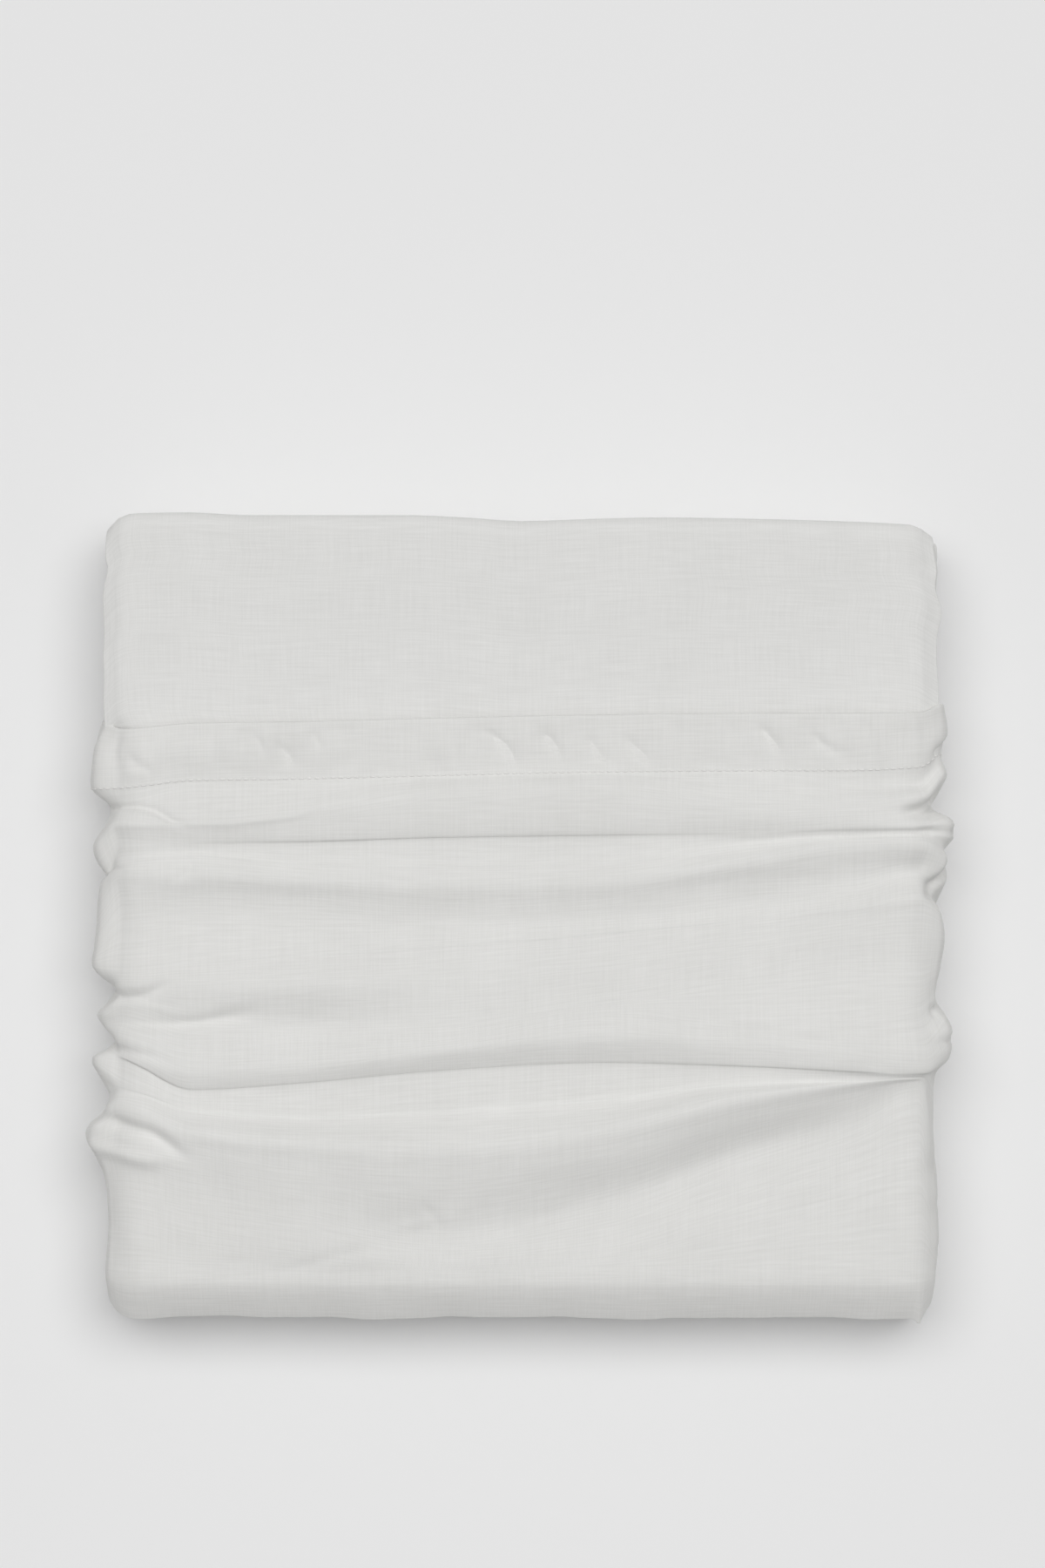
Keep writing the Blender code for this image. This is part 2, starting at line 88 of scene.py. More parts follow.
# From the mouth to the top of the sewn end. A line that comes back towards +Y is the hidden crease under
# an overhanging fold.
FOLD_LINES = (
    FoldLine(
        "mouth",
        (88, 83, 80.2, 82.6, 83.3, 84.8, 86.2, 86.8, 86.9, 87.3, 91, 88),
        (4.4, 2.9, 2.8, 2.8, 2.7, 2.6, 2.8, 3.2, 3.6, 4.8),
    ),
    FoldLine(
        "hem_middle",
        (72, 69, 69, 71, 72, 72.5, 73.5, 74, 74.5, 77, 78, 72),
        (8.4, 4.2, 3.3, 2.7, 2.1, 1.8, 2.1, 2.9, 3.3, 6.0),
    ),
    FoldLine(
        "hem_stitch",
        (60, 55, 55.5, 58.8, 59.5, 61, 62.5, 63, 63.1, 64.5, 70, 60),
        (8.6, 3.0, 1.4, 1.1, 1.1, 1.2, 1.3, 1.9, 2.7, 3.4),
        0.4,
        (-240, 240),
    ),
    FoldLine(
        "bulge_back",
        (52, 49, 50, 55.5, 56, 59.5, 60.8, 60.2, 57.5, 56.6, 67, 52),
        (2.4, 2.2, 1.4, 1.3, 1.5, 1.6, 1.8, 1.4, 1.3, 4.0),
    ),
    FoldLine(
        "bulge_crest",
        (45, 44, 44.5, 42, 45.5, 54, 56, 50.5, 49.8, 52.4, 61, 45),
        (0.8, 3.6, 4.8, 5.0, 4.5, 4.2, 4.8, 3.9, 5.2, 6.0),
    ),
    FoldLine(
        "bulge_shoulder",
        (38, 30.5, 40, 38.6, 40, 41.5, 42, 42, 44, 45.5, 49, 38),
        (8.2, 5.2, 4.5, 4.6, 4.4, 4.3, 4.7, 4.7, 4.8, -1.0),
    ),
    FoldLine(
        "bulge_lip",
        (31, 24, 33.5, 32.5, 32.6, 34.4, 35.4, 36.2, 38.2, 38.7, 41.5, 31),
        (7.0, 3.0, 2.9, 2.7, 2.5, 2.5, 2.6, 4.2, 5.6, 8.6),
    ),
    FoldLine(
        "bulge_tuck",
        (25, 18.5, 30.5, 31.2, 32.1, 33.9, 34.9, 35.4, 37.0, 37.1, 35.5, 25),
        (3.4, 2.6, 2.4, 2.0, 1.9, 1.9, 2.2, 3.1, 4.4, 9.6),
    ),
    FoldLine(
        "groove",
        (20, 17.2, 27, 28, 25.4, 24.6, 26.2, 32.2, 35.0, 35.4, 31.5, 20),
        (2.6, 2.3, 2.0, 1.8, 1.7, 1.6, 0.9, 2.4, 4.0, 5.6),
    ),
    FoldLine(
        "roll_back",
        (15, 15, 23.2, 25.9, 22.4, 21.4, 23, 29.8, 33.8, 34.2, 29.5, 15),
        (5.0, 3.2, 2.9, 2.7, 2.5, 2.6, 1.6, 3.1, 4.7, 4.6),
        0.4,
        (-166, 172),
    ),
    FoldLine(
        "roll_crest",
        (8, 8, 18.4, 18, 15.4, 13.5, 15, 23.4, 30.4, 30, 25, 8),
        (6.0, 4.4, 4.6, 4.5, 4.1, 4.2, 5.2, 4.2, 5.1, 6.8),
    ),
    FoldLine(
        "roll_front",
        (0, -4, 9, 9.5, 8, 4.5, 7, 14.5, 15.8, 20.8, 17, 0),
        (6.4, 2.6, 2.3, 2.2, 2.0, 2.0, 2.4, 0.3, 0.2, 5.8),
    ),
    FoldLine(
        "valley",
        (-9, -14, -3, -1, -2, -2.5, 0, 5, 9.8, 16, 9.5, -9),
        (7.6, 1.6, 1.0, 0.9, 0.9, 0.9, 1.0, 1.7, 1.9, -0.6),
    ),
    FoldLine(
        "puff_back",
        (-18, -22, -23, -20.3, -16.8, -13, -7.4, -1.5, 4, 8, 2, -18),
        (8.4, 3.4, 3.4, 3.2, 2.8, 2.6, 2.8, 3.2, 3.2, 3.6),
        0.35,
        (-160, 95),
    ),
    FoldLine(
        "puff_crest",
        (-27, -33.5, -30, -30.5, -29, -27, -21, -14, -8, -6, -8, -27),
        (-1.4, 4.0, 5.2, 7.8, 6.2, 5.0, 4.4, 3.2, 2.6, 5.0),
    ),
    FoldLine(
        "puff_dimple",
        (-36, -43, -38, -45, -46, -44, -36, -28, -24, -24, -22, -36),
        (6.6, 2.8, 3.6, 3.7, 6.6, 6.0, 4.6, 2.6, 1.6, 3.0),
    ),
    FoldLine(
        "puff_belly",
        (-45, -48, -49, -56, -54.5, -52, -42, -46, -45, -42, -34, -45),
        (4.0, 4.6, 5.0, 5.5, 7.8, 7.8, 9.0, 7.0, 3.0, 1.2),
    ),
    FoldLine(
        "puff_shoulder",
        (-53, -54, -55.5, -66.5, -64.5, -57.5, -52, -53.5, -57, -60, -50, -53),
        (-1.4, 4.4, 7.2, 7.6, 9.2, 9.9, 11.8, 12.0, 7.6, 8.8),
    ),
    FoldLine(
        "puff_lip",
        (-60, -57.5, -60.3, -73.9, -71, -65.6, -62.2, -63.6, -65.9, -67.2, -62, -60),
        (2.6, 3.4, 4.4, 5.0, 5.0, 5.4, 9.8, 10.4, 6.4, 6.6),
    ),
    FoldLine(
        "puff_tuck",
        (-66, -60.5, -61.1, -74.4, -71.5, -66.1, -62.7, -64.1, -66.4, -67.7, -66.5, -66),
        (8.0, 2.9, 3.8, 4.4, 4.5, 4.8, 9.0, 9.6, 5.2, 2.2),
    ),
    FoldLine(
        "shelf",
        (-73, -64, -72, -80.6, -83, -79.6, -74.6, -69.2, -68.4, -68.3, -70, -73),
        (8.4, 3.6, 3.2, 2.8, 2.9, 3.0, 7.4, 8.3, 4.6, 0.6),
    ),
    FoldLine(
        "ridge_back",
        (-82, -78, -74.5, -83, -85.8, -82.8, -78.4, -71.4, -70.3, -68.9, -78, -82),
        (1.2, 3.4, 2.7, 2.1, 2.1, 2.2, 7.0, 8.0, 3.8, -0.2),
        0.4,
        (-174, 104),
    ),
    FoldLine(
        "ridge_crest",
        (-94, -90.5, -82.5, -92, -96.5, -98, -90.5, -77, -71.4, -69.8, -88, -94),
        (10.4, 5.8, 8.8, 10.0, 10.4, 10.8, 11.1, 8.5, 3.4, -0.4),
    ),
    FoldLine(
        "ridge_front",
        (-108, -98, -95, -99, -106, -109, -100.5, -86, -76.2, -70.8, -100, -108),
        (9.6, 5.4, 7.6, 8.7, 8.9, 9.1, 7.8, 5.6, 2.8, 0.6),
    ),
    FoldLine(
        "ridge_toe",
        (-126, -112, -112, -118, -125, -135, -123, -102, -88, -77, -116, -126),
        (3.4, 2.4, 3.4, 5.4, 0.8, 0.4, 0.3, 1.4, 1.8, 2.0),
    ),
    FoldLine(
        "apron",
        (-142, -132, -132, -138, -144, -149, -144, -128, -116, -110, -138, -142),
        (1.4, 1.6, 2.0, 2.5, 0.5, 0.6, 0.6, 0.7, 2.4, 2.4),
    ),
    FoldLine(
        "nose_top",
        (-153, -153, -153, -153, -153, -153, -153, -153, -153, -153, -153, -153),
        (3.0, 1.4, 0.3, 0.3, 0.3, 0.4, 0.4, 0.4, 2.0, 1.4),
    ),
)
LINE_ORDER = {line.name: index for index, line in enumerate(FOLD_LINES)}


@dataclass(frozen=True)
class Crease:
    """A soft trough or ridge placed on the cloth.

    Attributes:
        relief: whether it sinks or stands up.
        width: half its width.
        height: how far it moves the cloth.
        route: the points that it follows, as (X, Y) seen from above.
        after: the fold line after which the cloth takes it.
        before: the fold line up to which the cloth takes it.
        tip: the share of its height that it has already at its first point.
        tail: the share of its height that it still has at its last point.
    """

    relief: Relief
    width: float
    height: float
    route: tuple[tuple[float, float], ...]
    after: str = "mouth"
    before: str = "nose_top"
    tip: float = 0.0
    tail: float = 0.0

    def lift(self, distance: Array, share: Array) -> Array:
        """Gives how far it moves the cloth, at a distance from its route and a share of the way along it."""
        start = self.tip + (1 - self.tip) * smooth_step(0.0, 0.35, share)
        end = 1 - (1 - self.tail) * smooth_step(0.6, 1.0, share)
        return self.relief.value * self.height * np.exp(-((distance / self.width) ** 2)) * start * end


CREASES = (
    # The hem's diagonal puckers
    Crease(Relief.TROUGH, 1.7, 0.9, ((-117, 80), (-113, 74), (-111, 67)), "mouth", "hem_stitch"),
    Crease(Relief.TROUGH, 1.9, 1.3, ((-107, 76), (-101, 69), (-98, 64)), "mouth", "hem_stitch"),
    Crease(Relief.TROUGH, 1.7, 0.8, ((-92, 81), (-89, 76), (-86, 70)), "mouth", "hem_stitch"),
    Crease(Relief.TROUGH, 1.9, 1.5, ((-19, 83), (-8, 73.5), (-2, 63)), "mouth", "hem_stitch"),
    Crease(Relief.TROUGH, 1.9, 1.4, ((6, 82), (14, 73), (18, 64)), "mouth", "hem_stitch"),
    Crease(Relief.TROUGH, 1.9, 1.3, ((27, 80), (32, 70), (40, 64)), "mouth", "hem_stitch"),
    Crease(Relief.TROUGH, 1.9, 1.3, ((43, 80), (48, 72), (56, 64)), "mouth", "hem_stitch"),
    Crease(Relief.TROUGH, 1.8, 1.3, ((100, 84), (106, 77), (112, 69)), "mouth", "hem_stitch"),
    Crease(Relief.TROUGH, 1.8, 1.2, ((122, 82), (128, 75), (134, 71), (142, 71)), "mouth", "hem_stitch"),
    # The hem's gathered ends
    Crease(Relief.TROUGH, 1.5, 1.3, ((-177, 82), (-178, 72), (-178, 60)), "mouth", "hem_stitch", 0.7),
    Crease(Relief.TROUGH, 1.5, 1.0, ((-171, 80), (-173, 72), (-173, 62)), "mouth", "hem_stitch", 0.5),
    Crease(Relief.TROUGH, 1.8, 1.3, ((-168, 71), (-166, 66), (-158, 61.3)), "mouth", "hem_stitch"),
    Crease(Relief.TROUGH, 2.2, 2.6, ((178, 75), (177, 72), (174, 69)), "mouth", "hem_stitch", 1.0),
    # Under the hem, at the left
    Crease(
        Relief.TROUGH,
        1.6,
        2.0,
        ((-184, 48), (-177, 46.8), (-164, 47.1), (-158, 45.4), (-150, 41), (-140, 39)),
        "hem_stitch",
        "bulge_lip",
        1.0,
    ),
    # The crest line of the first fold
    Crease(
        Relief.RIDGE,
        1.3,
        0.5,
        ((-177, 39), (-160, 39.4), (-140, 39.5), (-125, 40), (-112, 41.4), (-98, 43.4), (-89, 46.8), (-75, 47.8), (-58, 49.5)),
        "hem_stitch",
        "bulge_lip",
        0.6,
    ),
    # The pocket between the first two folds, at the left
    Crease(Relief.TROUGH, 1.2, 0.7, ((-146, 26), (-142, 23), (-144, 18.4), (-152, 16.2)), "groove", "roll_front"),
    Crease(Relief.TROUGH, 1.2, 1.2, ((-180, 20.7), (-174, 20.7), (-167, 20.3)), "groove", "roll_front", 1.0),
    # The small creases that run in from the left side
    Crease(Relief.TROUGH, 2.8, 1.6, ((-181, -31), (-170, -35), (-163, -34), (-152, -29), (-140, -24.5)), "valley", "puff_belly", 1.0),
    Crease(Relief.RIDGE, 1.8, 0.7, ((-183, -42), (-176, -38), (-166, -38), (-150, -40.5), (-139, -39.5)), "puff_back", "puff_shoulder", 0.8),
    Crease(
        Relief.TROUGH,
        2.8,
        2.1,
        ((-176, -45), (-161, -46.5), (-150, -46.5), (-139, -45.5), (-133, -44.3), (-126, -42.8), (-117, -41.3), (-106, -40.6)),
        "puff_back",
        "puff_shoulder",
        0.6,
    ),
    Crease(Relief.TROUGH, 2.4, 1.3, ((-181, -55), (-166, -58), (-156, -60.7), (-148, -64), (-144, -68)), "puff_belly", "puff_lip", 1.0),
    Crease(
        Relief.TROUGH,
        3.0,
        2.9,
        ((-182, -84), (-172, -88.5), (-166, -91), (-159, -93.5), (-152, -98), (-146, -102), (-139, -106)),
        "shelf",
        "ridge_toe",
        0.8,
    ),
    Crease(Relief.RIDGE, 3.2, 2.0, ((-186, -94), (-176, -99.5), (-162, -104.5), (-148, -105.5)), "ridge_back", "ridge_toe", 0.6),
    # The notch and the loops at the right side
    Crease(Relief.TROUGH, 3.2, 3.6, ((184, 48.2), (177, 47.2), (166, 45.6)), "bulge_crest", "bulge_lip", 1.0, 0.2),
    Crease(Relief.TROUGH, 2.2, 4.6, ((186, 49.4), (176, 46.6), (160, 44.2)), "bulge_crest", "bulge_lip", 1.0),
    Crease(Relief.TROUGH, 1.7, 2.2, ((179, 36.5), (174, 36.8), (166, 38)), "bulge_lip", "roll_crest", 1.0),
    Crease(Relief.TROUGH, 3.0, 6.0, ((178, 23), (177, 16), (174, 9)), "roll_back", "puff_back", 0.8, 0.4),
    Crease(Relief.TROUGH, 1.8, 3.0, ((178, -36), (175, -41), (176, -46)), "puff_crest", "puff_lip", 1.0),
    Crease(Relief.TROUGH, 2.2, 1.8, ((178, -53), (174, -54.5), (170, -56)), "puff_crest", "puff_lip", 0.8),
    Crease(Relief.RIDGE, 2.0, 0.7, ((104, 0), (124, 2), (144, 4), (163, 6), (177, 8.7)), "roll_front", "puff_crest"),
    # Wrinkles on the lower body
    Crease(Relief.TROUGH, 3.0, 0.5, ((-112, -156), (-81, -146), (-52, -140)), "ridge_front", "nose_top"),
    Crease(Relief.TROUGH, 2.0, 0.5, ((-46, -121), (-39, -128), (-33, -137)), "ridge_front", "nose_top"),
    Crease(Relief.RIDGE, 2.2, 0.4, ((-62, -136), (-42, -131), (-22, -129)), "ridge_front", "nose_top"),
    Crease(Relief.TROUGH, 2.0, 0.35, ((178, -104), (171, -108), (163, -110)), "ridge_front", "nose_top", 1.0),
    Crease(Relief.TROUGH, 2.0, 0.35, ((178, -124), (170, -127), (160, -128)), "ridge_front", "nose_top", 1.0),
    Crease(Relief.TROUGH, 2.0, 0.35, ((178, -143), (169, -149), (158, -151)), "ridge_front", "nose_top", 1.0),
)

COVER_CREASES = (
    # The tuck behind the right back corner's ear
    Crease(Relief.TROUGH, 2.2, 3.0, ((170, 163), (174, 156), (179, 150), (184, 147)), tip=0.3, tail=1.0),
    Crease(Relief.TROUGH, 3.0, 1.2, ((-186, 157), (-180, 154), (-172, 150)), tip=1.0),
    # Soft marks on the top panel
    Crease(Relief.TROUGH, 5.0, 0.25, ((-60, 118), (10, 121), (80, 117))),
    Crease(Relief.TROUGH, 4.0, 0.25, ((40, 150), (90, 141), (150, 139))),
    Crease(Relief.RIDGE, 5.0, 0.25, ((-150, 140), (-110, 135), (-60, 138))),
)


def smooth_step(low: float, high: float, value: Array | float) -> Array:
    """Gives 0 up to low, 1 from high on, and a smooth rise between them."""
    share = np.clip((np.asarray(value, float) - low) / (high - low), 0.0, 1.0)
    return share * share * (3.0 - 2.0 * share)


def value_at(places: tuple[float, ...], values: tuple[float, ...], at: Array) -> Array:
    """Reads a smooth curve through values that never overshoots them.

    Args:
        places: where the values are, in rising order.
        values: the values.
        at: where the curve is read. Past its ends it is level.

    Returns:
        The curve's values there.
    """
    x, y = np.asarray(places, float), np.asarray(values, float)
    rises = np.diff(y) / np.diff(x)
    before, after = rises[:-1], rises[1:]
    total = np.where(before * after > 0, before + after, 1.0)
    slopes = np.concatenate([[0.0], np.where(before * after > 0, 2 * before * after / total, 0.0), [0.0]])
    at = np.clip(at, x[0], x[-1])
    i = np.clip(np.searchsorted(x, at, side="right") - 1, 0, len(x) - 2)
    width = x[i + 1] - x[i]
    t = (at - x[i]) / width
    return (
        y[i] * (1 + 2 * t) * (1 - t) ** 2
        + slopes[i] * width * t * (1 - t) ** 2
        + y[i + 1] * t * t * (3 - 2 * t)
        + slopes[i + 1] * width * t * t * (t - 1)
    )


def curve_through(knots: Array, shares: list[Array]) -> Array:
    """Draws a centripetal Catmull-Rom curve through knots, for many columns at once.

    Args:
        knots: the points, of shape (knots, columns, 2).
        shares: where the rows lie from each knot to the next, from 0 up to 1.

    Returns:
        The rows, of shape (rows, columns, 2).
    """
    first = 2 * knots[0] - knots[1]
    last = 2 * knots[-1] - knots[-2]
    padded = np.concatenate([first[None], knots, last[None]])
    gaps = np.maximum(np.linalg.norm(np.diff(padded, axis=0), axis=-1), 1e-3) ** 0.5
    rows = []
    for k, stretch in enumerate(shares):
        a, b, c, d = padded[k : k + 4]
        ta = np.zeros(knots.shape[1])
        tb = ta + gaps[k]
        tc = tb + gaps[k + 1]
        td = tc + gaps[k + 2]
        for share in stretch:
            t = tb + (tc - tb) * share

            def mix(p: Array, q: Array, tp: Array, tq: Array) -> Array:
                """Blends two points by where t lies between their own times."""
                return p * ((tq - t) / (tq - tp))[:, None] + q * ((t - tp) / (tq - tp))[:, None]

            ab, bc, cd = mix(a, b, ta, tb), mix(b, c, tb, tc), mix(c, d, tc, td)
            rows.append(mix(mix(ab, bc, ta, tc), mix(bc, cd, tb, td), tb, tc))
    rows.append(knots[-1])
    return np.array(rows)


def route_distance(x: Array, y: Array, route: tuple[tuple[float, float], ...]) -> tuple[Array, Array]:
    """Measures how far points lie from a route.

    Args:
        x: the points' X.
        y: the points' Y.
        route: the route's own points.

    Returns:
        The distance to the route, and the share of the route's length at its nearest point.
    """
    points = np.asarray(route, float)
    lengths = np.linalg.norm(np.diff(points, axis=0), axis=1)
    starts = np.concatenate([[0.0], np.cumsum(lengths)])
    best = np.full(x.shape, np.inf)
    share = np.zeros(x.shape)
    for (ax, ay), (bx, by), length, start in zip(points, points[1:], lengths, starts):
        t = np.clip(((x - ax) * (bx - ax) + (y - ay) * (by - ay)) / length**2, 0.0, 1.0)
        distance = np.hypot(x - ax - t * (bx - ax), y - ay - t * (by - ay))
        nearer = distance < best
        best = np.where(nearer, distance, best)
        share = np.where(nearer, (start + t * length) / starts[-1], share)
    return best, share


@dataclass(frozen=True)
class Unevenness:
    """Soft random undulation of a cloth, as a sum of waves.

    Attributes:
        height: the typical height of the waves.
        longest: the longest wave.
        shortest: the shortest wave.
        count: how many waves there are.
        seed: what fixes their directions and places.
    """

    height: float
    longest: float
    shortest: float
    count: int
    seed: int

    def at(self, x: Array, y: Array) -> Array:
        """Gives the height of the undulation at points of the cloth."""
        random = np.random.default_rng(self.seed)
        total = np.zeros(np.broadcast(x, y).shape)
        for _ in range(self.count):
            length = self.shortest * (self.longest / self.shortest) ** random.random()
            turn = random.random() * math.pi
            phase = random.random() * 2 * math.pi
            wave = 2 * math.pi / length
            total += np.sin(wave * (x * math.cos(turn) + y * math.sin(turn)) + phase) * length / self.longest
        return total * self.height / math.sqrt(self.count)


class Signal:
    """A number that runs through a shader, so that its maths reads as arithmetic."""

    def __init__(self, shader: "Shader", socket: Any) -> None:
        """Wraps an output socket of one of the shader's nodes."""
        self.shader = shader
        self.socket = socket

    def maths(self, operation: str, first: Any, second: Any = None) -> "Signal":
        """Adds a Math node and gives its result."""
        sockets = {0: first} if second is None else {0: first, 1: second}
        return Signal(self.shader, self.shader.node("ShaderNodeMath", {"operation": operation}, sockets).outputs[0])

    def __add__(self, other: Any) -> "Signal":
        """Adds a number or a signal."""
        return self.maths("ADD", self, other)

    __radd__ = __add__

    def __mul__(self, other: Any) -> "Signal":
        """Multiplies by a number or a signal."""
        return self.maths("MULTIPLY", self, other)

    __rmul__ = __mul__

    def __sub__(self, other: Any) -> "Signal":
        """Takes a number or a signal away."""
        return self.maths("SUBTRACT", self, other)

    def __rsub__(self, other: Any) -> "Signal":
        """Is taken away from a number."""
        return self.maths("SUBTRACT", other, self)

    def wave(self) -> "Signal":
        """Gives its sine."""
        return self.maths("SINE", self)


class Shader:
    """The node tree of one material."""

    def __init__(self, name: str) -> None:
        """Makes an empty material with one Principled shader."""
        self.material = bpy.data.materials.new(name)
        self.material.use_nodes = True
        self.tree = self.material.node_tree
        self.principled = self.tree.nodes["Principled BSDF"]

    def node(self, kind: str, settings: dict[str, Any] | None = None, sockets: dict[Any, Any] | None = None) -> Any:
        """Adds a node.

        Args:
            kind: the node's type.
            settings: its settings, which are set first.
            sockets: the value, link or signal of each of its inputs, by name or index.

        Returns:
            The node.
        """
        made = self.tree.nodes.new(kind)
        for name, value in (settings or {}).items():
            setattr(made, name, value)
        for name, value in (sockets or {}).items():
            self.feed(made.inputs[name], value)
        return made

    def feed(self, socket: Any, value: Any) -> None:
        """Sets an input socket to a value, or links it to an output or a signal."""
        if isinstance(value, Signal):
            self.tree.links.new(value.socket, socket)
        elif isinstance(value, bpy.types.NodeSocket):
            self.tree.links.new(value, socket)
        else:
            socket.default_value = value

    def signal(self, socket: Any) -> Signal:
        """Wraps an output socket for maths."""
        return Signal(self, socket)


@dataclass(frozen=True)
class Linen:
    """Plain-woven white linen, dressed in the cloth's own coordinates.

    Attributes:
        name: the material's name.
        colour: its colour where threads lie even.
        shade: its colour in the thin places between threads.
        pitch: the distance from one thread to the next.
        relief: how far its threads stand up.
    """

    name: str
    colour: tuple[float, float, float]
    shade: tuple[float, float, float]
    pitch: float = 0.5
    relief: float = 0.05

    def streaks(self, shader: Shader, uv: Any, scale: tuple[float, float, float], detail: float) -> Signal:
        """Gives the slubs of one set of threads, as noise drawn out along them.

        Args:
            shader: the material's shader.
            uv: the cloth's coordinates.
            scale: how many times the noise repeats in a metre, along and across the threads.
            detail: how fine the noise is.

        Returns:
            A signal from 0 to 1.
        """
        mapping = shader.node("ShaderNodeMapping", None, {"Vector": uv, "Scale": scale})
        noise = shader.node(
            "ShaderNodeTexNoise",
            {"noise_dimensions": "2D"},
            {"Vector": mapping.outputs[0], "Scale": 1.0, "Detail": detail, "Roughness": 0.6},
        )
        return shader.signal(noise.outputs["Fac"])

    def material(self) -> Any:
        """Builds the material.

        Returns:
            The material, with weave, slubs and sheen.
        """
        shader = Shader(self.name)
        uv = shader.node("ShaderNodeUVMap", {"uv_map": CLOTH_UV}).outputs[0]
        parts = shader.node("ShaderNodeSeparateXYZ", None, {0: uv})
        turns = 2 * math.pi / (self.pitch * MM)
        weft_slubs = self.streaks(shader, uv, (45.0, 1300.0, 1.0), 3.0)
        warp_slubs = self.streaks(shader, uv, (1300.0, 45.0, 1.0), 3.0)
        cloud = self.streaks(shader, uv, (22.0, 22.0, 1.0), 2.0)
        across = (shader.signal(parts.outputs[0]) * turns).wave()
        along = (shader.signal(parts.outputs[1]) * turns).wave()
        weave = across * along
        height = weave * 0.25 + weft_slubs + warp_slubs * 0.8
        bump = shader.node(
            "ShaderNodeBump", None, {"Strength": 0.6, "Distance": self.relief * MM, "Height": height}
        )
        tone = weft_slubs * 0.9 + warp_slubs * 0.7 + cloud * 0.4 - 0.5
        colour = shader.node(
            "ShaderNodeMix",
            {"data_type": "RGBA"},
            {"Factor": tone, 6: (*self.shade, 1.0), 7: (*self.colour, 1.0)},
        )
        shader.feed(shader.principled.inputs["Base Color"], colour.outputs[2])
        shader.feed(shader.principled.inputs["Normal"], bump.outputs[0])
        shader.feed(shader.principled.inputs["Roughness"], 0.92)
        shader.feed(shader.principled.inputs["Specular IOR Level"], 0.25)
        shader.feed(shader.principled.inputs["Sheen Weight"], 0.12)
        shader.feed(shader.principled.inputs["Sheen Roughness"], 0.6)
        return shader.material


@dataclass(frozen=True)
class Thread:
    """The sewing thread's finish."""

    name: str = "sewing_thread"
    colour: tuple[float, float, float] = (0.88, 0.875, 0.855)

    def material(self) -> Any:
        """Builds the material, a fine twist along each stitch.

        Returns:
            The material.
        """
        shader = Shader(self.name)
        place = shader.node("ShaderNodeTexCoord").outputs["Object"]
        noise = shader.node(
            "ShaderNodeTexNoise", None, {"Vector": place, "Scale": 900.0, "Detail": 2.0, "Roughness": 0.5}
        )
        tone = shader.node(
            "ShaderNodeMix",
            {"data_type": "RGBA"},
            {"Factor": noise.outputs["Fac"], 6: tuple(c * 0.93 for c in self.colour) + (1.0,), 7: (*self.colour, 1.0)},
        )
        shader.feed(shader.principled.inputs["Base Color"], tone.outputs[2])
        shader.feed(shader.principled.inputs["Roughness"], 0.7)
        return shader.material


def surface(name: str, faces: list[list[int]], points: Array, uvs: Array, material: Any) -> Any:
    """Makes a smooth mesh object.

    Args:
        name: the piece's name.
        faces: its faces, as lists of points.
        points: the points, in millimetres.
        uvs: cloth coordinates in millimetres for each corner of the faces.
        material: its material.

    Returns:
        The object, linked to the scene.
    """
    mesh = bpy.data.meshes.new(name)
    mesh.from_pydata((points * MM).tolist(), [], faces)
    layer = mesh.uv_layers.new(name=CLOTH_UV)
    layer.data.foreach_set("uv", (uvs * MM).astype(np.float32).ravel())
    bm = bmesh.new()
    bm.from_mesh(mesh)
    bmesh.ops.recalc_face_normals(bm, faces=bm.faces)
    bm.to_mesh(mesh)
    bm.free()
    mesh.shade_smooth()
    mesh.materials.append(material)
    made = bpy.data.objects.new(name, mesh)
    bpy.context.scene.collection.objects.link(made)
    return made


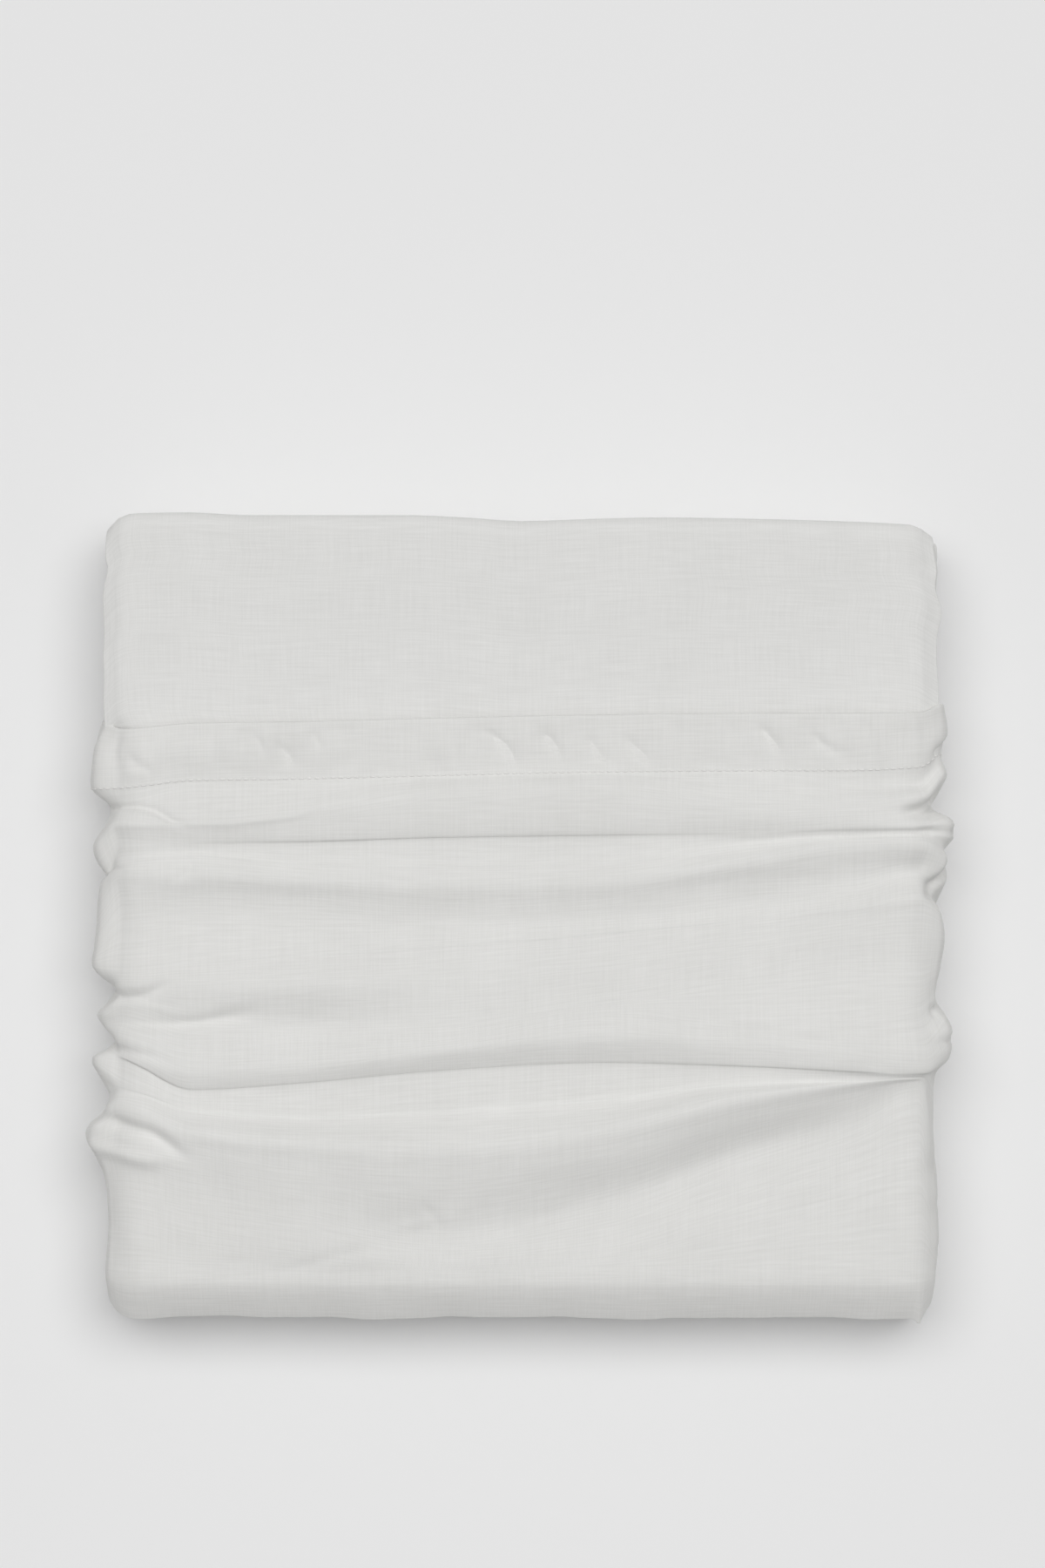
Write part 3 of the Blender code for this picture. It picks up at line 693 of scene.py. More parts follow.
@dataclass
class LinenBag:
    """The slip bag: one sheet round the cover, its hem turned in, crumpled below it.

    Attributes:
        half_width: half the width of the close-lying loop.
        top: the height of the close-lying loop.
        corner: the radius of its corners.
        spacings: how closely the columns of each stretch of a half loop lie.
        row_height: the distance from one row of the mesh to the next.
        hem_thick: how thick the turned hem is.
        hem_reach: how far the hem reaches inside the mouth.
        nose_deep: how far the sewn end stands out in front of the flat top.
        nose_steps: how many rows the sewn end has.
        nose_narrows: the share by which it narrows down to its seam.
        nose_shape: how the end falls, as shares of its depth and of its height, from the flat top to the seam.
        seam_places: where the side seams run on the loop.
        notch_width: how wide the fine creases are.
        lowest: the least stand-off on the top and on the side walls.
        nose_corner: how far the sewn end draws back at its corners.
        nose_waves: the unevenness of the sewn edge.
    """

    half_width: float = 178.0
    top: float = 52.0
    corner: float = 17.0
    spacings: tuple[tuple[float, float], ...] = (
        # how far a stretch reaches from the middle of the top, and the distance between its columns
        (135.0, 1.75),
        (161.0, 1.1),
        (187.7, 1.3),
        (205.7, 1.8),
        (232.4, 3.0),
        (393.4, 13.0),
    )
    row_height: float = 1.35
    hem_thick: float = 1.7
    hem_reach: float = 24.0
    nose_deep: float = 20.6
    nose_steps: int = 24
    nose_narrows: float = 0.01
    nose_shape: tuple[tuple[float, float], ...] = (
        (0.0, 0.0),
        (0.22, 0.02),
        (0.42, 0.09),
        (0.66, 0.22),
        (0.96, 0.42),
        (1.0, 0.46),
        (0.98, 0.62),
        (0.95, 1.0),
    )
    nose_foot: tuple[tuple[float, float], ...] = (
        (0.0, 0.0),
        (0.5, 0.01),
        (0.84, 0.04),
        (0.95, 0.12),
        (0.98, 0.25),
        (1.0, 0.5),
        (0.99, 0.7),
        (0.95, 1.0),
    )
    seam_places: tuple[float, float] = (-180.0, 180.0)
    notch_width: float = 1.6
    lowest: tuple[float, float] = (0.1, -2.2)
    nose_corner: float = 12.0
    waves: Unevenness = field(default_factory=lambda: Unevenness(0.55, 70.0, 16.0, 26, 11))
    hem_waves: Unevenness = field(default_factory=lambda: Unevenness(0.42, 15.0, 5.0, 30, 21))
    nose_waves: Unevenness = field(default_factory=lambda: Unevenness(0.9, 60.0, 14.0, 10, 4))
    stitch_line: Array = field(default_factory=lambda: np.zeros((0, 3)))
    stitch_out: Array = field(default_factory=lambda: np.zeros((0, 3)))

    @property
    def stretches(self) -> tuple[float, ...]:
        """The lengths of flat, corner, wall, corner and flat in half the loop."""
        flat = self.half_width - self.corner
        corner = self.corner * math.pi / 2
        wall = self.top - 2 * self.corner
        return flat, corner, wall, corner, flat

    def places(self) -> Array:
        """Gives the columns' places, once round the loop from the middle of the top."""
        right = [0.0]
        for reach, spacing in self.spacings:
            start = right[-1]
            end = min(reach, sum(self.stretches))
            spans = round((end - start) / spacing)
            right += [start + (end - start) * k / spans for k in range(1, spans + 1)]
        right[-1] = sum(self.stretches)
        return np.array(right + [-place for place in reversed(right[1:-1])])

    def loop(self, places: Array) -> tuple[Array, Array, Array, Array]:
        """Reads the close-lying loop.

        Args:
            places: places on the loop.

        Returns:
            X, Z, and the outward direction's X and Z at each place.
        """
        flat, corner, wall, _, _ = self.stretches
        side = np.where(places < 0, -1.0, 1.0)
        run = np.abs(places)
        upper = np.clip((run - flat) / self.corner, 0.0, math.pi / 2)
        lower = np.clip((run - flat - corner - wall) / self.corner, 0.0, math.pi / 2)
        turn = upper + lower
        wall_down = np.clip(run - flat - corner, 0.0, wall)
        under = np.maximum(run - flat - 2 * corner - wall, 0.0)
        x = np.minimum(run, flat) + self.corner * np.sin(upper) - self.corner * (1 - np.cos(lower)) - under
        z = self.top - self.corner * (1 - np.cos(upper)) - wall_down - self.corner * np.sin(lower)
        return side * x, z, side * np.sin(turn), np.cos(turn)

    def place_of(self, x: float) -> float:
        """Gives the loop place of a point of the top panel that is seen from above at X."""
        flat = self.stretches[0]
        over = min(1.0, max(0.0, (abs(x) - flat) / self.corner))
        return math.copysign(min(abs(x), flat) + self.corner * math.asin(over), x)

    def profile(self, places: Array) -> tuple[Array, Array, Array]:
        """Runs the fold lines across the loop and a curve through them down each column.

        Args:
            places: the columns' places.

        Returns:
            Y and stand-off, each of shape (rows, columns), and each row's place in the order of lines.
        """
        y = np.array([value_at(LINE_PLACES, line.y, places) for line in FOLD_LINES])
        stand = np.array([value_at(LINE_PLACES, (0.0, *line.stand, 0.0), places) for line in FOLD_LINES])
        knots = np.stack([y, stand], axis=-1)
        top = np.abs(places) < self.stretches[0]
        lengths = np.linalg.norm(np.diff(knots[:, top], axis=0), axis=-1).mean(axis=1)
        shares = []
        for k, length in enumerate(lengths):
            even = np.arange(max(3, round(length / self.row_height))) / max(3, round(length / self.row_height))
            close_before, close_after = FOLD_LINES[k].notch > 0, FOLD_LINES[k + 1].notch > 0
            after = 1 - (1 - even) ** 1.7 if close_after else even
            shares.append((1 - even) * even**1.7 + even * after if close_before else after)
        rows = curve_through(knots, shares)
        order = np.concatenate([k + stretch for k, stretch in enumerate(shares)] + [[float(len(shares))]])
        stands = rows[..., 1].copy()
        for line, (line_y, line_stand) in zip(FOLD_LINES, zip(y, stand)):
            if line.notch:
                start, end = line.notch_span
                reach = smooth_step(start, start + 20, places) * (1 - smooth_step(end - 20, end, places))
                above = rows[..., 0] - line_y
                away = np.hypot(above, rows[..., 1] - line_stand)
                stands += line.notch / 2 * reach * np.tanh(above / 0.25) * np.exp(-away / self.notch_width)
        return rows[..., 0], stands, order

    def creased(self, places: Array, y: Array, order: Array) -> Array:
        """Adds up the creases, seams and undulation.

        Args:
            places: the columns' places.
            y: each point's Y.
            order: each row's place in the order of lines.

        Returns:
            How much further each point stands off the loop.
        """
        x = np.broadcast_to(places, y.shape)
        total = self.waves.at(x, y) * smooth_step(0.0, 4.0, order)[:, None]
        for crease in CREASES:
            first, last = LINE_ORDER[crease.after], LINE_ORDER[crease.before]
            rows = smooth_step(first - 0.3, first + 0.4, order) * (1 - smooth_step(last - 0.4, last + 0.3, order))
            route = tuple((self.place_of(px), py) for px, py in crease.route)
            distance, share = route_distance(x, y, route)
            total += crease.lift(distance, share) * rows[:, None]
        for seam in self.seam_places:
            total += 0.5 * np.exp(-(((x - seam) / 1.3) ** 2))
        hem = self.hem_waves.at(x, y * 0.4) * (1 - smooth_step(1.4, 2.0, order))[:, None] * smooth_step(0.0, 0.5, order)[:, None]
        return total + hem

    def hem_rows(self, mouth: Array, normals: Array) -> list[Array]:
        """Turns the hem in at the mouth.

        Args:
            mouth: the mouth row's points.
            normals: the outward directions there.

        Returns:
            Rows from the hidden edge of the hem to just before the mouth row.
        """
        radius = self.hem_thick / 2
        back = np.array([0.0, 1.0, 0.0])
        inner = [
            mouth - normals * self.hem_thick - back * (self.hem_reach * (1 - k / 6)) for k in range(6)
        ]
        turn = [
            mouth - normals * radius * (1 + math.cos(a)) + back * radius * math.sin(a)
            for a in (math.pi * k / 6 for k in range(6))
        ]
        return inner + turn

    def nose(self, start: Array) -> list[Array]:
        """Rounds the sewn end down, or up from the underside, to its seam.

        Args:
            start: the points where the end begins.

        Returns:
            Rows after the start, the last of which lies on the seam.
        """
        seam_z = self.top / 2
        edge = np.where(start[:, 0] < 0, -start[:, 0].min(), start[:, 0].max())
        inward = np.clip((edge - np.abs(start[:, 0])) / self.nose_corner, 0.0, 1.0)
        drawn = self.nose_corner * (1 - np.sqrt(1 - (1 - inward) ** 2))
        wavy = self.nose_waves.at(start[:, 0], np.zeros(len(start)))
        ear = np.exp(-(((start[:, 0] - 172.5) / 1.8) ** 2))
        rows = []
        places = tuple(float(k) for k in range(len(self.nose_shape)))
        steps = np.arange(1, self.nose_steps + 1) / self.nose_steps * places[-1]
        upper = smooth_step(seam_z - 6.0, seam_z + 6.0, start[:, 2])
        reads = (value_at(places, way, steps) for way in (*zip(*self.nose_shape), *zip(*self.nose_foot)))
        for top_out, top_fall, foot_out, foot_fall in zip(*reads):
            out = foot_out + (top_out - foot_out) * upper
            fall = foot_fall + (top_fall - foot_fall) * upper
            groove = 0.9 * np.exp(-(((1 - fall) * seam_z / 1.6) ** 2))
            x = start[:, 0] * (1 - self.nose_narrows * fall)
            deep = (self.nose_deep - drawn) * out
            y = start[:, 1] - deep + groove + (wavy - 3.5 * ear) * out**2
            z = seam_z + (start[:, 2] - seam_z) * (1 - fall)
            rows.append(np.stack([x, y, z], axis=-1))
        return rows

    def build(self, material: Any) -> Any:
        """Builds the bag.

        Args:
            material: its linen.

        Returns:
            The bag's object.
        """
        places = self.places()
        x, z, out_x, out_z = self.loop(places)
        y, stand, order = self.profile(places)
        stand = stand + self.creased(places, y, order) * smooth_step(-237.0, -215.0, -np.abs(places))
        least = self.lowest[0] + (self.lowest[1] - self.lowest[0]) * smooth_step(168.0, 184.0, np.abs(places))
        stand = np.where(np.abs(places) < 215.0, least + 0.4 * np.logaddexp(0.0, (stand - least) / 0.4), stand)
        push_z = np.where(z < self.top / 2, 0.0, out_z)
        rows = [
            np.stack([x + out_x * s, row_y, z + push_z * s], axis=-1) for row_y, s in zip(y, stand)
        ]
        normals = np.stack([out_x, np.zeros_like(x), out_z], axis=-1)
        rows = self.hem_rows(rows[0], normals) + rows
        rows += self.nose(rows[-1])
        seam_row = rows.pop()
        grid = np.array(rows)
        count = len(places)
        steps = np.linalg.norm(np.diff(grid[:, np.abs(places) < self.stretches[0]], axis=0), axis=-1).mean(axis=1)
        down = np.concatenate([[0.0], np.cumsum(steps)])
        points = [grid.reshape(-1, 3)]
        base = len(grid) * count
        upper = [k for k in range(count) if z[k] >= self.top / 2 - 1e-6]
        seam: dict[float, int] = {}
        seam_points = []
        for k in sorted(upper, key=lambda k: seam_row[k][0]):
            key = round(float(seam_row[k][0]), 2)
            if key not in seam:
                seam[key] = base + len(seam_points)
                seam_points.append(seam_row[k])
        points.append(np.array(seam_points))
        faces, uvs = [], []
        total = 2 * sum(self.stretches)
        for r in range(len(grid) - 1):
            for k in range(count):
                after = (k + 1) % count
                u, w = places[k], places[after]
                w = w + total if w < u else w
                faces.append([r * count + k, (r + 1) * count + k, (r + 1) * count + after, r * count + after])
                uvs += [(u, down[r]), (u, down[r + 1]), (w, down[r + 1]), (w, down[r])]
        keys = np.array(list(seam))
        nearest = [int(np.argmin(np.abs(keys - point[0]))) for point in seam_row]
        ids = list(seam.values())
        closing = []
        last = (len(grid) - 1) * count
        end = down[-1] + self.row_height
        for k in range(count):
            after = (k + 1) % count
            a, b = nearest[k], nearest[after]
            run = list(range(a, b + 1)) if a <= b else list(range(a, b - 1, -1))
            u, w = places[k], places[after]
            w = w + total if w < u else w
            face = [last + k, *(ids[i] for i in run), last + after]
            closing.append(face)
            shares = np.linspace(0.0, 1.0, len(run)) if len(run) > 1 else np.array([0.5])
            uvs += [(u, down[-1]), *((u + (w - u) * s, end) for s in shares), (w, down[-1])]
        made = surface("linen_bag_cloth", faces + closing, np.concatenate(points), np.array(uvs), material)
        sewn = len(self.hem_rows(grid[0], normals)) + int(np.argmin(np.abs(order - LINE_ORDER["hem_stitch"])))
        self.stitch_line, self.stitch_out = grid[sewn], normals
        LOG.info("bag: %d rows, %d columns, %.0f mm of cloth down the top", len(grid), count, down[-1])
        return made


@dataclass
class FoldedCover:
    """The duvet cover: folded lengthwise to a strip, and the strip laid back and forth in seven runs.

    Attributes:
        runs: each run's end in Y and how far its left and right edges stand out, from the lowest up.
        base: the underside of the lowest run inside the bag.
        thick: how thick a run is.
        pitch: the height from one run to the next.
        start_y: where the strip's free end lies.
        half_width: half the cover's width, inside the bag and outside it.
        droop: how far the runs' edges droop, inside the bag, outside it at the left and at the right.
        reach: how far in from the edge they droop, in the same order.
        mouth: the stretch of Y over which the cover widens out of the bag.
        settle: the stretch over which it settles down to the surface.
        lift: how far the top run rises where it enters the bag.
        front: the stretch of Y over which the hidden front corners narrow, and by how much.
        plies: how many folds show in the edge of a run.
        ply_round: how far each of them stands out.
        back_edge: how far the back edge stands behind its line, as X and shift.
        left_edge: how far the top runs stand out at the left, as Y and shift.
        right_edge: the same at the right.
        waves: the unevenness of its surface.
        rim_waves: the unevenness of its edges.
    """

    runs: tuple[tuple[float, float, float], ...] = (
        (-160.0, -1.5, -2.0),
        (171.0, 0.0, -1.0),
        (-168.0, -1.0, 0.5),
        (169.5, 0.5, -0.5),
        (-166.0, -0.5, 0.5),
        (172.1, 0.0, 0.0),
        (-150.0, 0.0, 0.5),
    )
    base: float = 2.4
    thick: float = 6.2
    pitch: float = 7.0
    start_y: float = 167.0
    half_width: tuple[float, float] = (173.4, 178.8)
    droop: tuple[float, float, float] = (9.5, 5.0, 7.0)
    reach: tuple[float, float, float] = (16.0, 7.0, 14.0)
    mouth: tuple[float, float] = (74.0, 88.0)
    settle: tuple[float, float] = (92.0, 112.0)
    lift: float = 1.0
    front: tuple[float, float, float] = (138.0, 168.0, 7.0)
    plies: int = 3
    ply_round: float = 1.0
    back_edge: tuple[tuple[float, float], ...] = (
        (-181.0, -6.0),
        (-176.0, -1.0),
        (-168.0, 2.0),
        (-145.0, 2.4),
        (-118.0, 1.2),
        (-50.0, 1.2),
        (-25.0, 0.2),
        (0.0, -1.4),
        (30.0, -0.4),
        (60.0, 0.2),
        (100.0, -0.4),
        (130.0, -1.2),
        (168.0, -3.0),
        (181.0, -9.0),
    )
    left_edge: tuple[tuple[float, float], ...] = (
        (100.0, 1.0),
        (145.0, 1.2),
        (155.0, -0.6),
        (160.0, 0.4),
        (169.0, 0.0),
    )
    right_edge: tuple[tuple[float, float], ...] = (
        (100.0, -0.4),
        (128.0, -1.4),
        (140.0, 0.6),
        (151.0, -2.2),
        (158.0, -1.2),
        (168.0, -2.4),
    )
    waves: Unevenness = field(default_factory=lambda: Unevenness(0.35, 90.0, 25.0, 18, 5))
    rim_waves: Unevenness = field(default_factory=lambda: Unevenness(0.7, 60.0, 14.0, 18, 8))

    def centre_line(self) -> tuple[Array, Array]:
        """Lays out the strip's middle line in the YZ plane.

        Returns:
            Rows of Y, Z, the upper face's direction in Y and Z and the share of the thickness, and each
            row's distance along the strip.
        """
        turn_radius = self.pitch / 2
        room = turn_radius + self.thick / 2
        z = self.base + self.thick / 2
        way = -1.0
        ends = [end for end, _, _ in self.runs]
        rounding = [0.02, 0.15, 0.4, 0.7, 1.0]
        line = []
        y = self.start_y
        for r in rounding:
            line.append((y - r * 3.1, z, 0.0, way, math.sqrt(1 - (1 - r) ** 2)))
        for run, end in enumerate(ends):
            last = run == len(ends) - 1
            stop = end - way * (3.1 if last else room)
            start = line[-1][0]
            between = [v for v in np.arange(-150.0, 58.0, 12.0)] + [v for v in np.arange(58.0, 170.0, 2.5)]
            inner = [v for v in between if min(start, stop) + 1 < v < max(start, stop) - 1]
            line += [(v, z, 0.0, way, 1.0) for v in (inner if way > 0 else reversed(inner))]
            line.append((stop, z, 0.0, way, 1.0))
            if last:
                for r in reversed(rounding[:-1]):
                    line.append((end - way * r * 3.1, z, 0.0, way, math.sqrt(1 - (1 - r) ** 2)))
                break
            for t in (math.pi * k / 12 for k in range(1, 13)):
                line.append(
                    (
                        stop + way * turn_radius * math.sin(t),
                        z + turn_radius * (1 - math.cos(t)),
                        -math.sin(t),
                        way * math.cos(t),
                        1.0,
                    )
                )
            z += self.pitch
            way = -way
        rows = np.array(line)
        along = np.concatenate([[0.0], np.cumsum(np.linalg.norm(np.diff(rows[:, :2], axis=0), axis=1))])
        return rows, along

    def section(self) -> Array:
        """Draws the strip's cross section once round.

        Returns:
            Rows of the share of the half width, the share of the half thickness, and how far out of the
            edge the point stands.
        """
        even = np.linspace(-1.0, 1.0, 49)
        shares = 0.55 * even + 0.45 * np.sin(even * math.pi / 2)
        top = [(share, 1.0, 0.0) for share in shares]
        rim = []
        for ply in range(self.plies):
            middle = 1 - (2 * ply + 1) / self.plies
            for k in range(1, 7):
                turn = math.pi * k / 7
                rim.append((1.0, middle + math.cos(turn) / self.plies, self.ply_round * math.sin(turn) ** 0.6))
        right = rim
        left = [(-1.0, -v, out) for _, v, out in rim]
        under = [(share, -1.0, 0.0) for share in reversed(shares)]
        return np.array([*top, *right, *under, *left])

    def settled(self, share: Array, y: Array, z: Array, out: Array) -> Array:
        """Places points of the straight strip on the cover as it lies.

        Args:
            share: each point's share of the half width.
            y: its Y on the straight strip.
            z: its Z there.
            out: how far it stands out of the edge.

        Returns:
            The points, in their last place.
        """
        outside = smooth_step(*self.mouth, y)
        left = share < 0
        half = self.half_width[0] + (self.half_width[1] - self.half_width[0]) * outside
        droop, reach = (
            inside + (np.where(left, free_left, free_right) - inside) * outside
            for inside, free_left, free_right in (self.droop, self.reach)
        )
        lowest = self.base + self.thick / 2
        heights = tuple(lowest + run * self.pitch for run in range(len(self.runs)))
        half = half + np.where(
            left,
            value_at(heights, tuple(run[1] for run in self.runs), z),
            value_at(heights, tuple(run[2] for run in self.runs), z),
        )
        low, high, narrows = self.front
        half = half - narrows * smooth_step(low, high, -y)
        upper = smooth_step(20.0, 46.0, z) * outside
        for side, edge in ((left, self.left_edge), (~left, self.right_edge)):
            half = half + np.where(side, value_at(tuple(p[0] for p in edge), tuple(p[1] for p in edge), y) * upper, 0.0)
        level = np.round((z - lowest) / self.pitch)
        half = half + self.rim_waves.at(y, level * 37.0 + share * 90.0) * outside
        inward = np.clip(half * (1 - np.abs(share)) / reach, 0.0, 1.0)
        drop = droop * (1 - np.sqrt(np.maximum(0.0, 1 - (1 - inward) ** 2)))
        crown = self.base + len(self.runs) * self.pitch - (self.pitch - self.thick)
        middle = (self.base + crown) / 2
        z = middle + (z - middle) * (1 - drop / (crown - middle))
        depth = (crown - z) / (crown - self.base)
        z = z - self.base * depth * smooth_step(*self.settle, y)
        x = share * half + np.where(left, -out, out)
        shift = value_at(tuple(p[0] for p in self.back_edge), tuple(p[1] for p in self.back_edge), x)
        top_share = smooth_step(crown - 6.0, crown - 1.0, z)
        z = z - top_share * outside * self.lift * smooth_step(self.mouth[0], self.mouth[0] + 34.0, y)
        z = z + top_share * outside * self.waves.at(x, y)
        for crease in COVER_CREASES:
            distance, run = route_distance(x, y, crease.route)
            z = z + top_share * crease.lift(distance, run)
        return np.stack([x, y + shift * outside, z], axis=-1)

    def build(self, material: Any) -> Any:
        """Builds the cover.

        Args:
            material: its linen.

        Returns:
            The cover's object.
        """
        line, along = self.centre_line()
        ring = self.section()
        share = np.broadcast_to(ring[:, 0], (len(line), len(ring)))
        half = self.thick / 2 * line[:, 4:5] * ring[:, 1]
        y = line[:, 0:1] + half * line[:, 2:3]
        z = line[:, 1:2] + half * line[:, 3:4]
        out = line[:, 4:5] * ring[:, 2]
        points = self.settled(share, y, z, out)
        count = len(ring)
        width = np.concatenate([[0.0], np.cumsum(np.linalg.norm(np.diff(ring[:, :2] * (179.0, 3.1), axis=0), axis=1))])
        around = np.append(width, width[-1] + self.thick)
        faces, uvs = [], []
        for r in range(len(line) - 1):
            for k in range(count):
                after = (k + 1) % count
                faces.append([r * count + k, r * count + after, (r + 1) * count + after, (r + 1) * count + k])
                uvs += [(around[k], along[r]), (around[k + 1], along[r])]
                uvs += [(around[k + 1], along[r + 1]), (around[k], along[r + 1])]
        for row in (0, len(line) - 1):
            order = range(count) if row else reversed(range(count))
            cap = [row * count + k for k in order]
            faces.append(cap)
            uvs += [(around[c % count], along[row]) for c in cap]
        made = surface("folded_cover_cloth", faces, points.reshape(-1, 3), np.array(uvs), material)
        LOG.info("cover: %d rows, %.0f mm of folded strip", len(line), along[-1])
        return made


class StitchTree:
    """A Geometry Nodes tree that lays even stitches along a seam line."""

    NAME = "topstitching"

    def __init__(self) -> None:
        """Makes the tree and its inputs."""
        self.tree = bpy.data.node_groups.new(self.NAME, "GeometryNodeTree")
        face = self.tree.interface
        face.new_socket("Geometry", in_out="INPUT", socket_type="NodeSocketGeometry")
        self.inputs: dict[str, str] = {}
        for label, kind in (
            ("Pitch", "NodeSocketFloat"),
            ("Length", "NodeSocketFloat"),
            ("Radius", "NodeSocketFloat"),
            ("Thread", "NodeSocketMaterial"),
        ):
            self.inputs[label] = face.new_socket(label, in_out="INPUT", socket_type=kind).identifier
        face.new_socket("Geometry", in_out="OUTPUT", socket_type="NodeSocketGeometry")
        self.source = self.tree.nodes.new("NodeGroupInput")
        self.lay()

    def node(self, kind: str, settings: dict[str, Any], sockets: dict[Any, Any]) -> Any:
        """Adds a node.

        Args:
            kind: the node's type.
            settings: its settings.
            sockets: the value or link of each of its inputs.

        Returns:
            The node.
        """
        made = self.tree.nodes.new(kind)
        for name, value in settings.items():
            setattr(made, name, value)
        for name, value in sockets.items():
            if isinstance(value, bpy.types.NodeSocket):
                self.tree.links.new(value, made.inputs[name])
            else:
                made.inputs[name].default_value = value
        return made

    def lay(self) -> None:
        """Lays the nodes: points along the line, a stitch on each, turned along it."""
        given = self.source.outputs
        curve = self.node("GeometryNodeMeshToCurve", {}, {"Mesh": given["Geometry"]})
        spaced = self.node(
            "GeometryNodeResampleCurve", {"mode": "LENGTH"}, {"Curve": curve.outputs[0], "Length": given["Pitch"]}
        )
        ball = self.node("GeometryNodeMeshUVSphere", {}, {"Segments": 8, "Rings": 6, "Radius": 1.0})
        half = self.node("ShaderNodeMath", {"operation": "MULTIPLY"}, {0: given["Length"], 1: 0.5})
        size = self.node("ShaderNodeCombineXYZ", {}, {0: given["Radius"], 1: given["Radius"], 2: half.outputs[0]})
        stitch = self.node(
            "GeometryNodeTransform", {}, {"Geometry": ball.outputs["Mesh"], "Scale": size.outputs[0]}
        )
        tangent = self.node("GeometryNodeInputTangent", {}, {})
        turn = self.node("FunctionNodeAlignRotationToVector", {"axis": "Z"}, {"Vector": tangent.outputs[0]})
        placed = self.node(
            "GeometryNodeInstanceOnPoints",
            {},
            {"Points": spaced.outputs[0], "Instance": stitch.outputs[0], "Rotation": turn.outputs[0]},
        )
        real = self.node("GeometryNodeRealizeInstances", {}, {"Geometry": placed.outputs[0]})
        smooth = self.node("GeometryNodeSetShadeSmooth", {}, {"Geometry": real.outputs[0]})
        dressed = self.node(
            "GeometryNodeSetMaterial", {}, {"Geometry": smooth.outputs[0], "Material": given["Thread"]}
        )
        out = self.tree.nodes.new("NodeGroupOutput")
        self.tree.links.new(dressed.outputs[0], out.inputs[0])


@dataclass
class Topstitching:
    """The hem's row of stitches.

    Attributes:
        pitch: the distance from one stitch to the next.
        length: how long a stitch shows.
        radius: the thread's radius.
        proud: how far the stitch's middle lies above the cloth.
    """

    pitch: float = 3.4
    length: float = 2.4
    radius: float = 0.34
    proud: float = 0.12

    def build(self, line: Array, outward: Array, material: Any) -> Any:
        """Sews the stitches.

        Args:
            line: the closed line that they follow, in millimetres.
            outward: the way out of the cloth at each of its points.
            material: the thread.

        Returns:
            The stitches' object, as a plain mesh.
        """
        points = line + outward * self.proud
        count = len(points)
        mesh = bpy.data.meshes.new("hem_stitch_line")
        mesh.from_pydata((points * MM).tolist(), [(k, (k + 1) % count) for k in range(count)], [])
        guide = bpy.data.objects.new("hem_stitch_line", mesh)
        bpy.context.scene.collection.objects.link(guide)
        tree = StitchTree()
        sewing = guide.modifiers.new("Topstitching", "NODES")
        sewing.node_group = tree.tree
        for label, value in (
            ("Pitch", self.pitch * MM),
            ("Length", self.length * MM),
            ("Radius", self.radius * MM),
            ("Thread", material),
        ):
            sewing[tree.inputs[label]] = value
        bpy.context.view_layer.update()
        graph = bpy.context.evaluated_depsgraph_get()
        result = bpy.data.meshes.new_from_object(guide.evaluated_get(graph))
        bpy.data.objects.remove(guide)
        made = bpy.data.objects.new("hem_topstitching", result)
        bpy.context.scene.collection.objects.link(made)
        LOG.info("topstitching: %d faces", len(result.polygons))
        return made


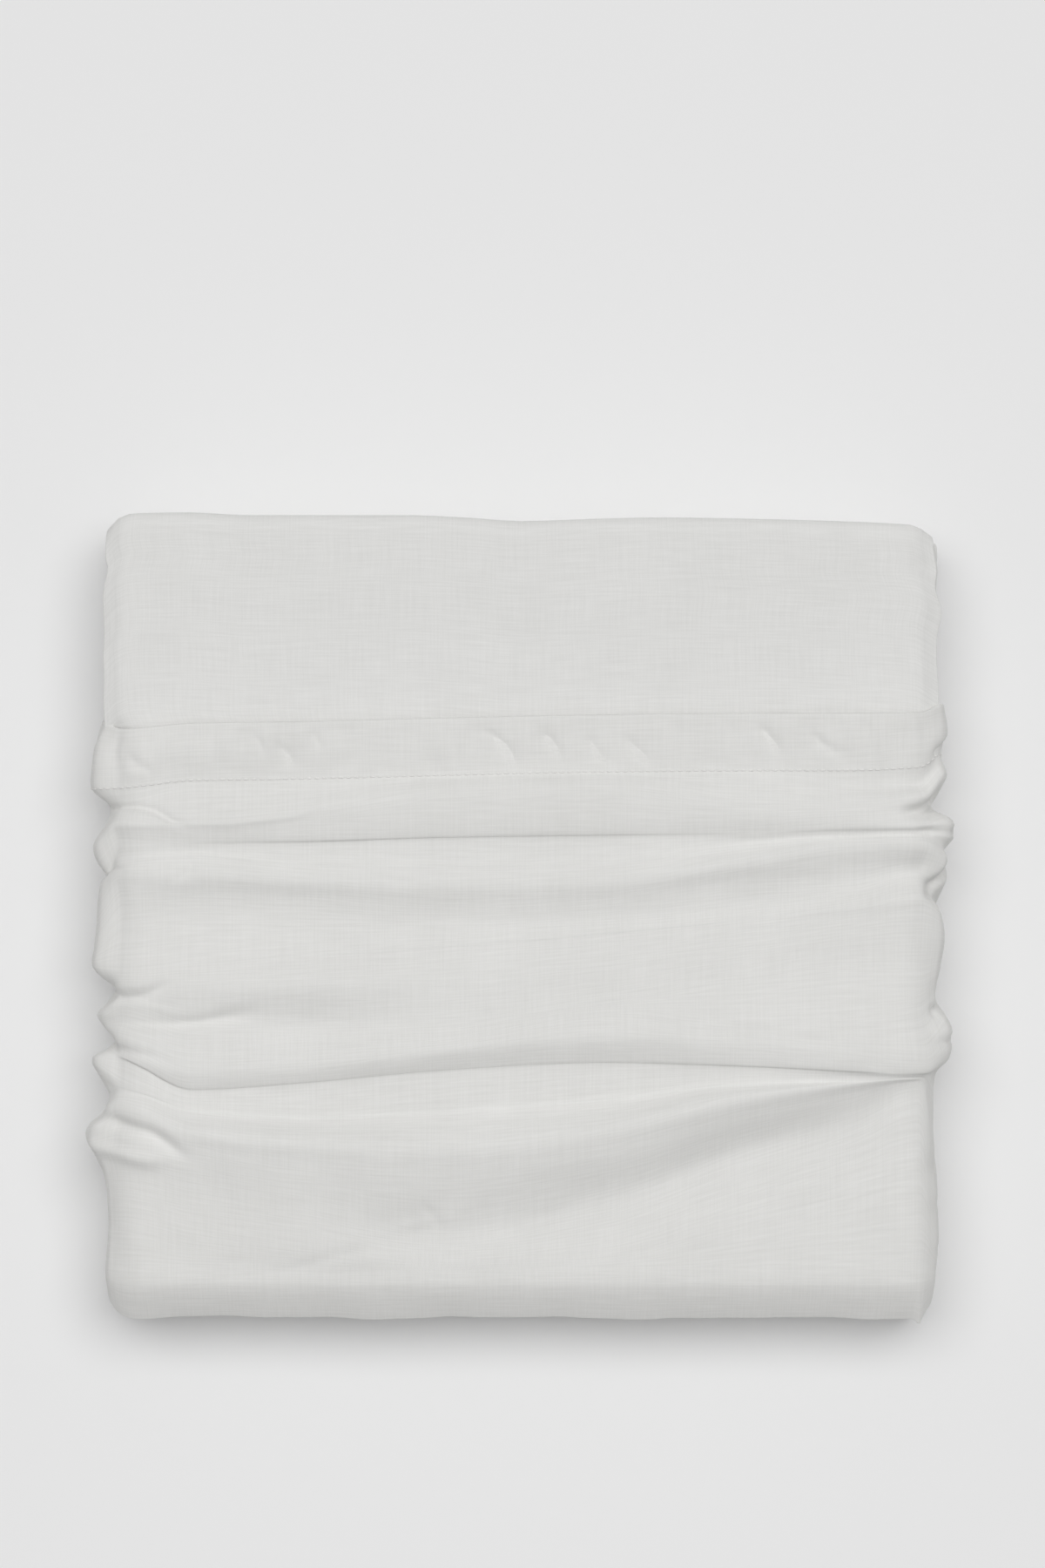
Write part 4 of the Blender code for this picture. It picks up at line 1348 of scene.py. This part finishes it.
@dataclass
class Studio:
    """The pale floor, soft lights and the camera straight above.

    Attributes:
        view_centre: the X and Y at the middle of the picture.
        view_height: how much of the bundle's plane the picture's height takes in.
        distance: how far the camera is above that plane.
        plane: the height of the plane.
        floor_colour: the floor's paper.
        sky: the strength of the light from all round.
        sky_rise: the heights, as sines, between which that light grows from nothing to full.
        soft_boxes: each soft box's strength, height above the floor, turn from +Y towards +X, and spread, in degrees.
    """

    view_centre: tuple[float, float] = (0.0, 57.2)
    view_height: float = 675.0
    distance: float = 2600.0
    plane: float = 52.0
    floor_colour: tuple[float, float, float] = (0.92, 0.92, 0.92)
    sky: float = 0.43
    sky_rise: tuple[float, float] = (0.15, 0.75)
    soft_boxes: tuple[tuple[float, float, float, float], ...] = ((0.95, 66.6, 46.0, 38.0), (0.76, 66.6, -44.0, 38.0))

    def camera(self) -> None:
        """Puts the camera above the bundle, looking straight down."""
        data = bpy.data.cameras.new("camera")
        data.sensor_fit = "VERTICAL"
        data.sensor_height = 36.0
        data.lens = data.sensor_height * self.distance / self.view_height
        data.clip_end = 20.0
        made = bpy.data.objects.new("camera", data)
        made.location = [c * MM for c in (*self.view_centre, self.plane + self.distance)]
        bpy.context.scene.collection.objects.link(made)
        bpy.context.scene.camera = made

    def floor(self) -> None:
        """Lays the floor."""
        half = 6.0
        mesh = bpy.data.meshes.new("floor")
        mesh.from_pydata([(-half, -half, 0), (half, -half, 0), (half, half, 0), (-half, half, 0)], [], [(0, 1, 2, 3)])
        shader = Shader("floor_paper")
        shader.feed(shader.principled.inputs["Base Color"], (*self.floor_colour, 1.0))
        shader.feed(shader.principled.inputs["Roughness"], 0.9)
        shader.feed(shader.principled.inputs["Specular IOR Level"], 0.1)
        mesh.materials.append(shader.material)
        made = bpy.data.objects.new("floor", mesh)
        bpy.context.scene.collection.objects.link(made)

    def lights(self) -> None:
        """Lights the bundle softly from all round, and from a wide box above the bare end of the cover."""
        world = bpy.data.worlds.new("studio")
        world.use_nodes = True
        tree = world.node_tree
        way = tree.nodes.new("ShaderNodeSeparateXYZ")
        tree.links.new(tree.nodes.new("ShaderNodeTexCoord").outputs["Generated"], way.inputs[0])
        rise = tree.nodes.new("ShaderNodeMapRange")
        rise.interpolation_type = "SMOOTHSTEP"
        low, high = self.sky_rise
        for socket, value in (("From Min", low), ("From Max", high), ("To Min", 0.0), ("To Max", self.sky)):
            rise.inputs[socket].default_value = value
        tree.links.new(way.outputs["Z"], rise.inputs["Value"])
        tree.links.new(rise.outputs["Result"], tree.nodes["Background"].inputs["Strength"])
        tree.nodes["Background"].inputs["Color"].default_value = (1.0, 1.0, 1.0, 1.0)
        bpy.context.scene.world = world
        for strength, height, turn, spread in self.soft_boxes:
            data = bpy.data.lights.new("soft_box", "SUN")
            data.energy = strength
            data.angle = math.radians(spread)
            made = bpy.data.objects.new("soft_box", data)
            made.rotation_euler = (-math.radians(90.0 - height), 0.0, -math.radians(turn))
            bpy.context.scene.collection.objects.link(made)
        bpy.context.scene.view_settings.view_transform = "Standard"

    def build(self) -> None:
        """Builds the whole studio."""
        self.camera()
        self.floor()
        self.lights()


def main() -> None:
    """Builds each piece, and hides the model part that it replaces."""
    logging.basicConfig(level=logging.INFO, format="%(message)s")
    Studio().build()
    # The bag's linen is a touch warmer than the cover's. Its white is the cloth's own, and the extra warmth is painted
    # warm bounce light, standing in for the warmer shade between the bag's folds.
    bag_linen = Linen("bag_linen", (0.886, 0.883, 0.865), (0.771, 0.768, 0.746)).material()
    cover_linen = Linen("cover_linen", (0.885, 0.883, 0.868), (0.77, 0.768, 0.75)).material()
    maker = LinenBag()
    bag = maker.build(bag_linen)
    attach(bag, BODY)
    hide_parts("linen_bag")
    stitches = Topstitching().build(maker.stitch_line, maker.stitch_out, Thread().material())
    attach(stitches, BODY)
    cover = FoldedCover().build(cover_linen)
    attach(cover, BODY)
    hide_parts("folded_cover")


if __name__ == "__main__":
    main()
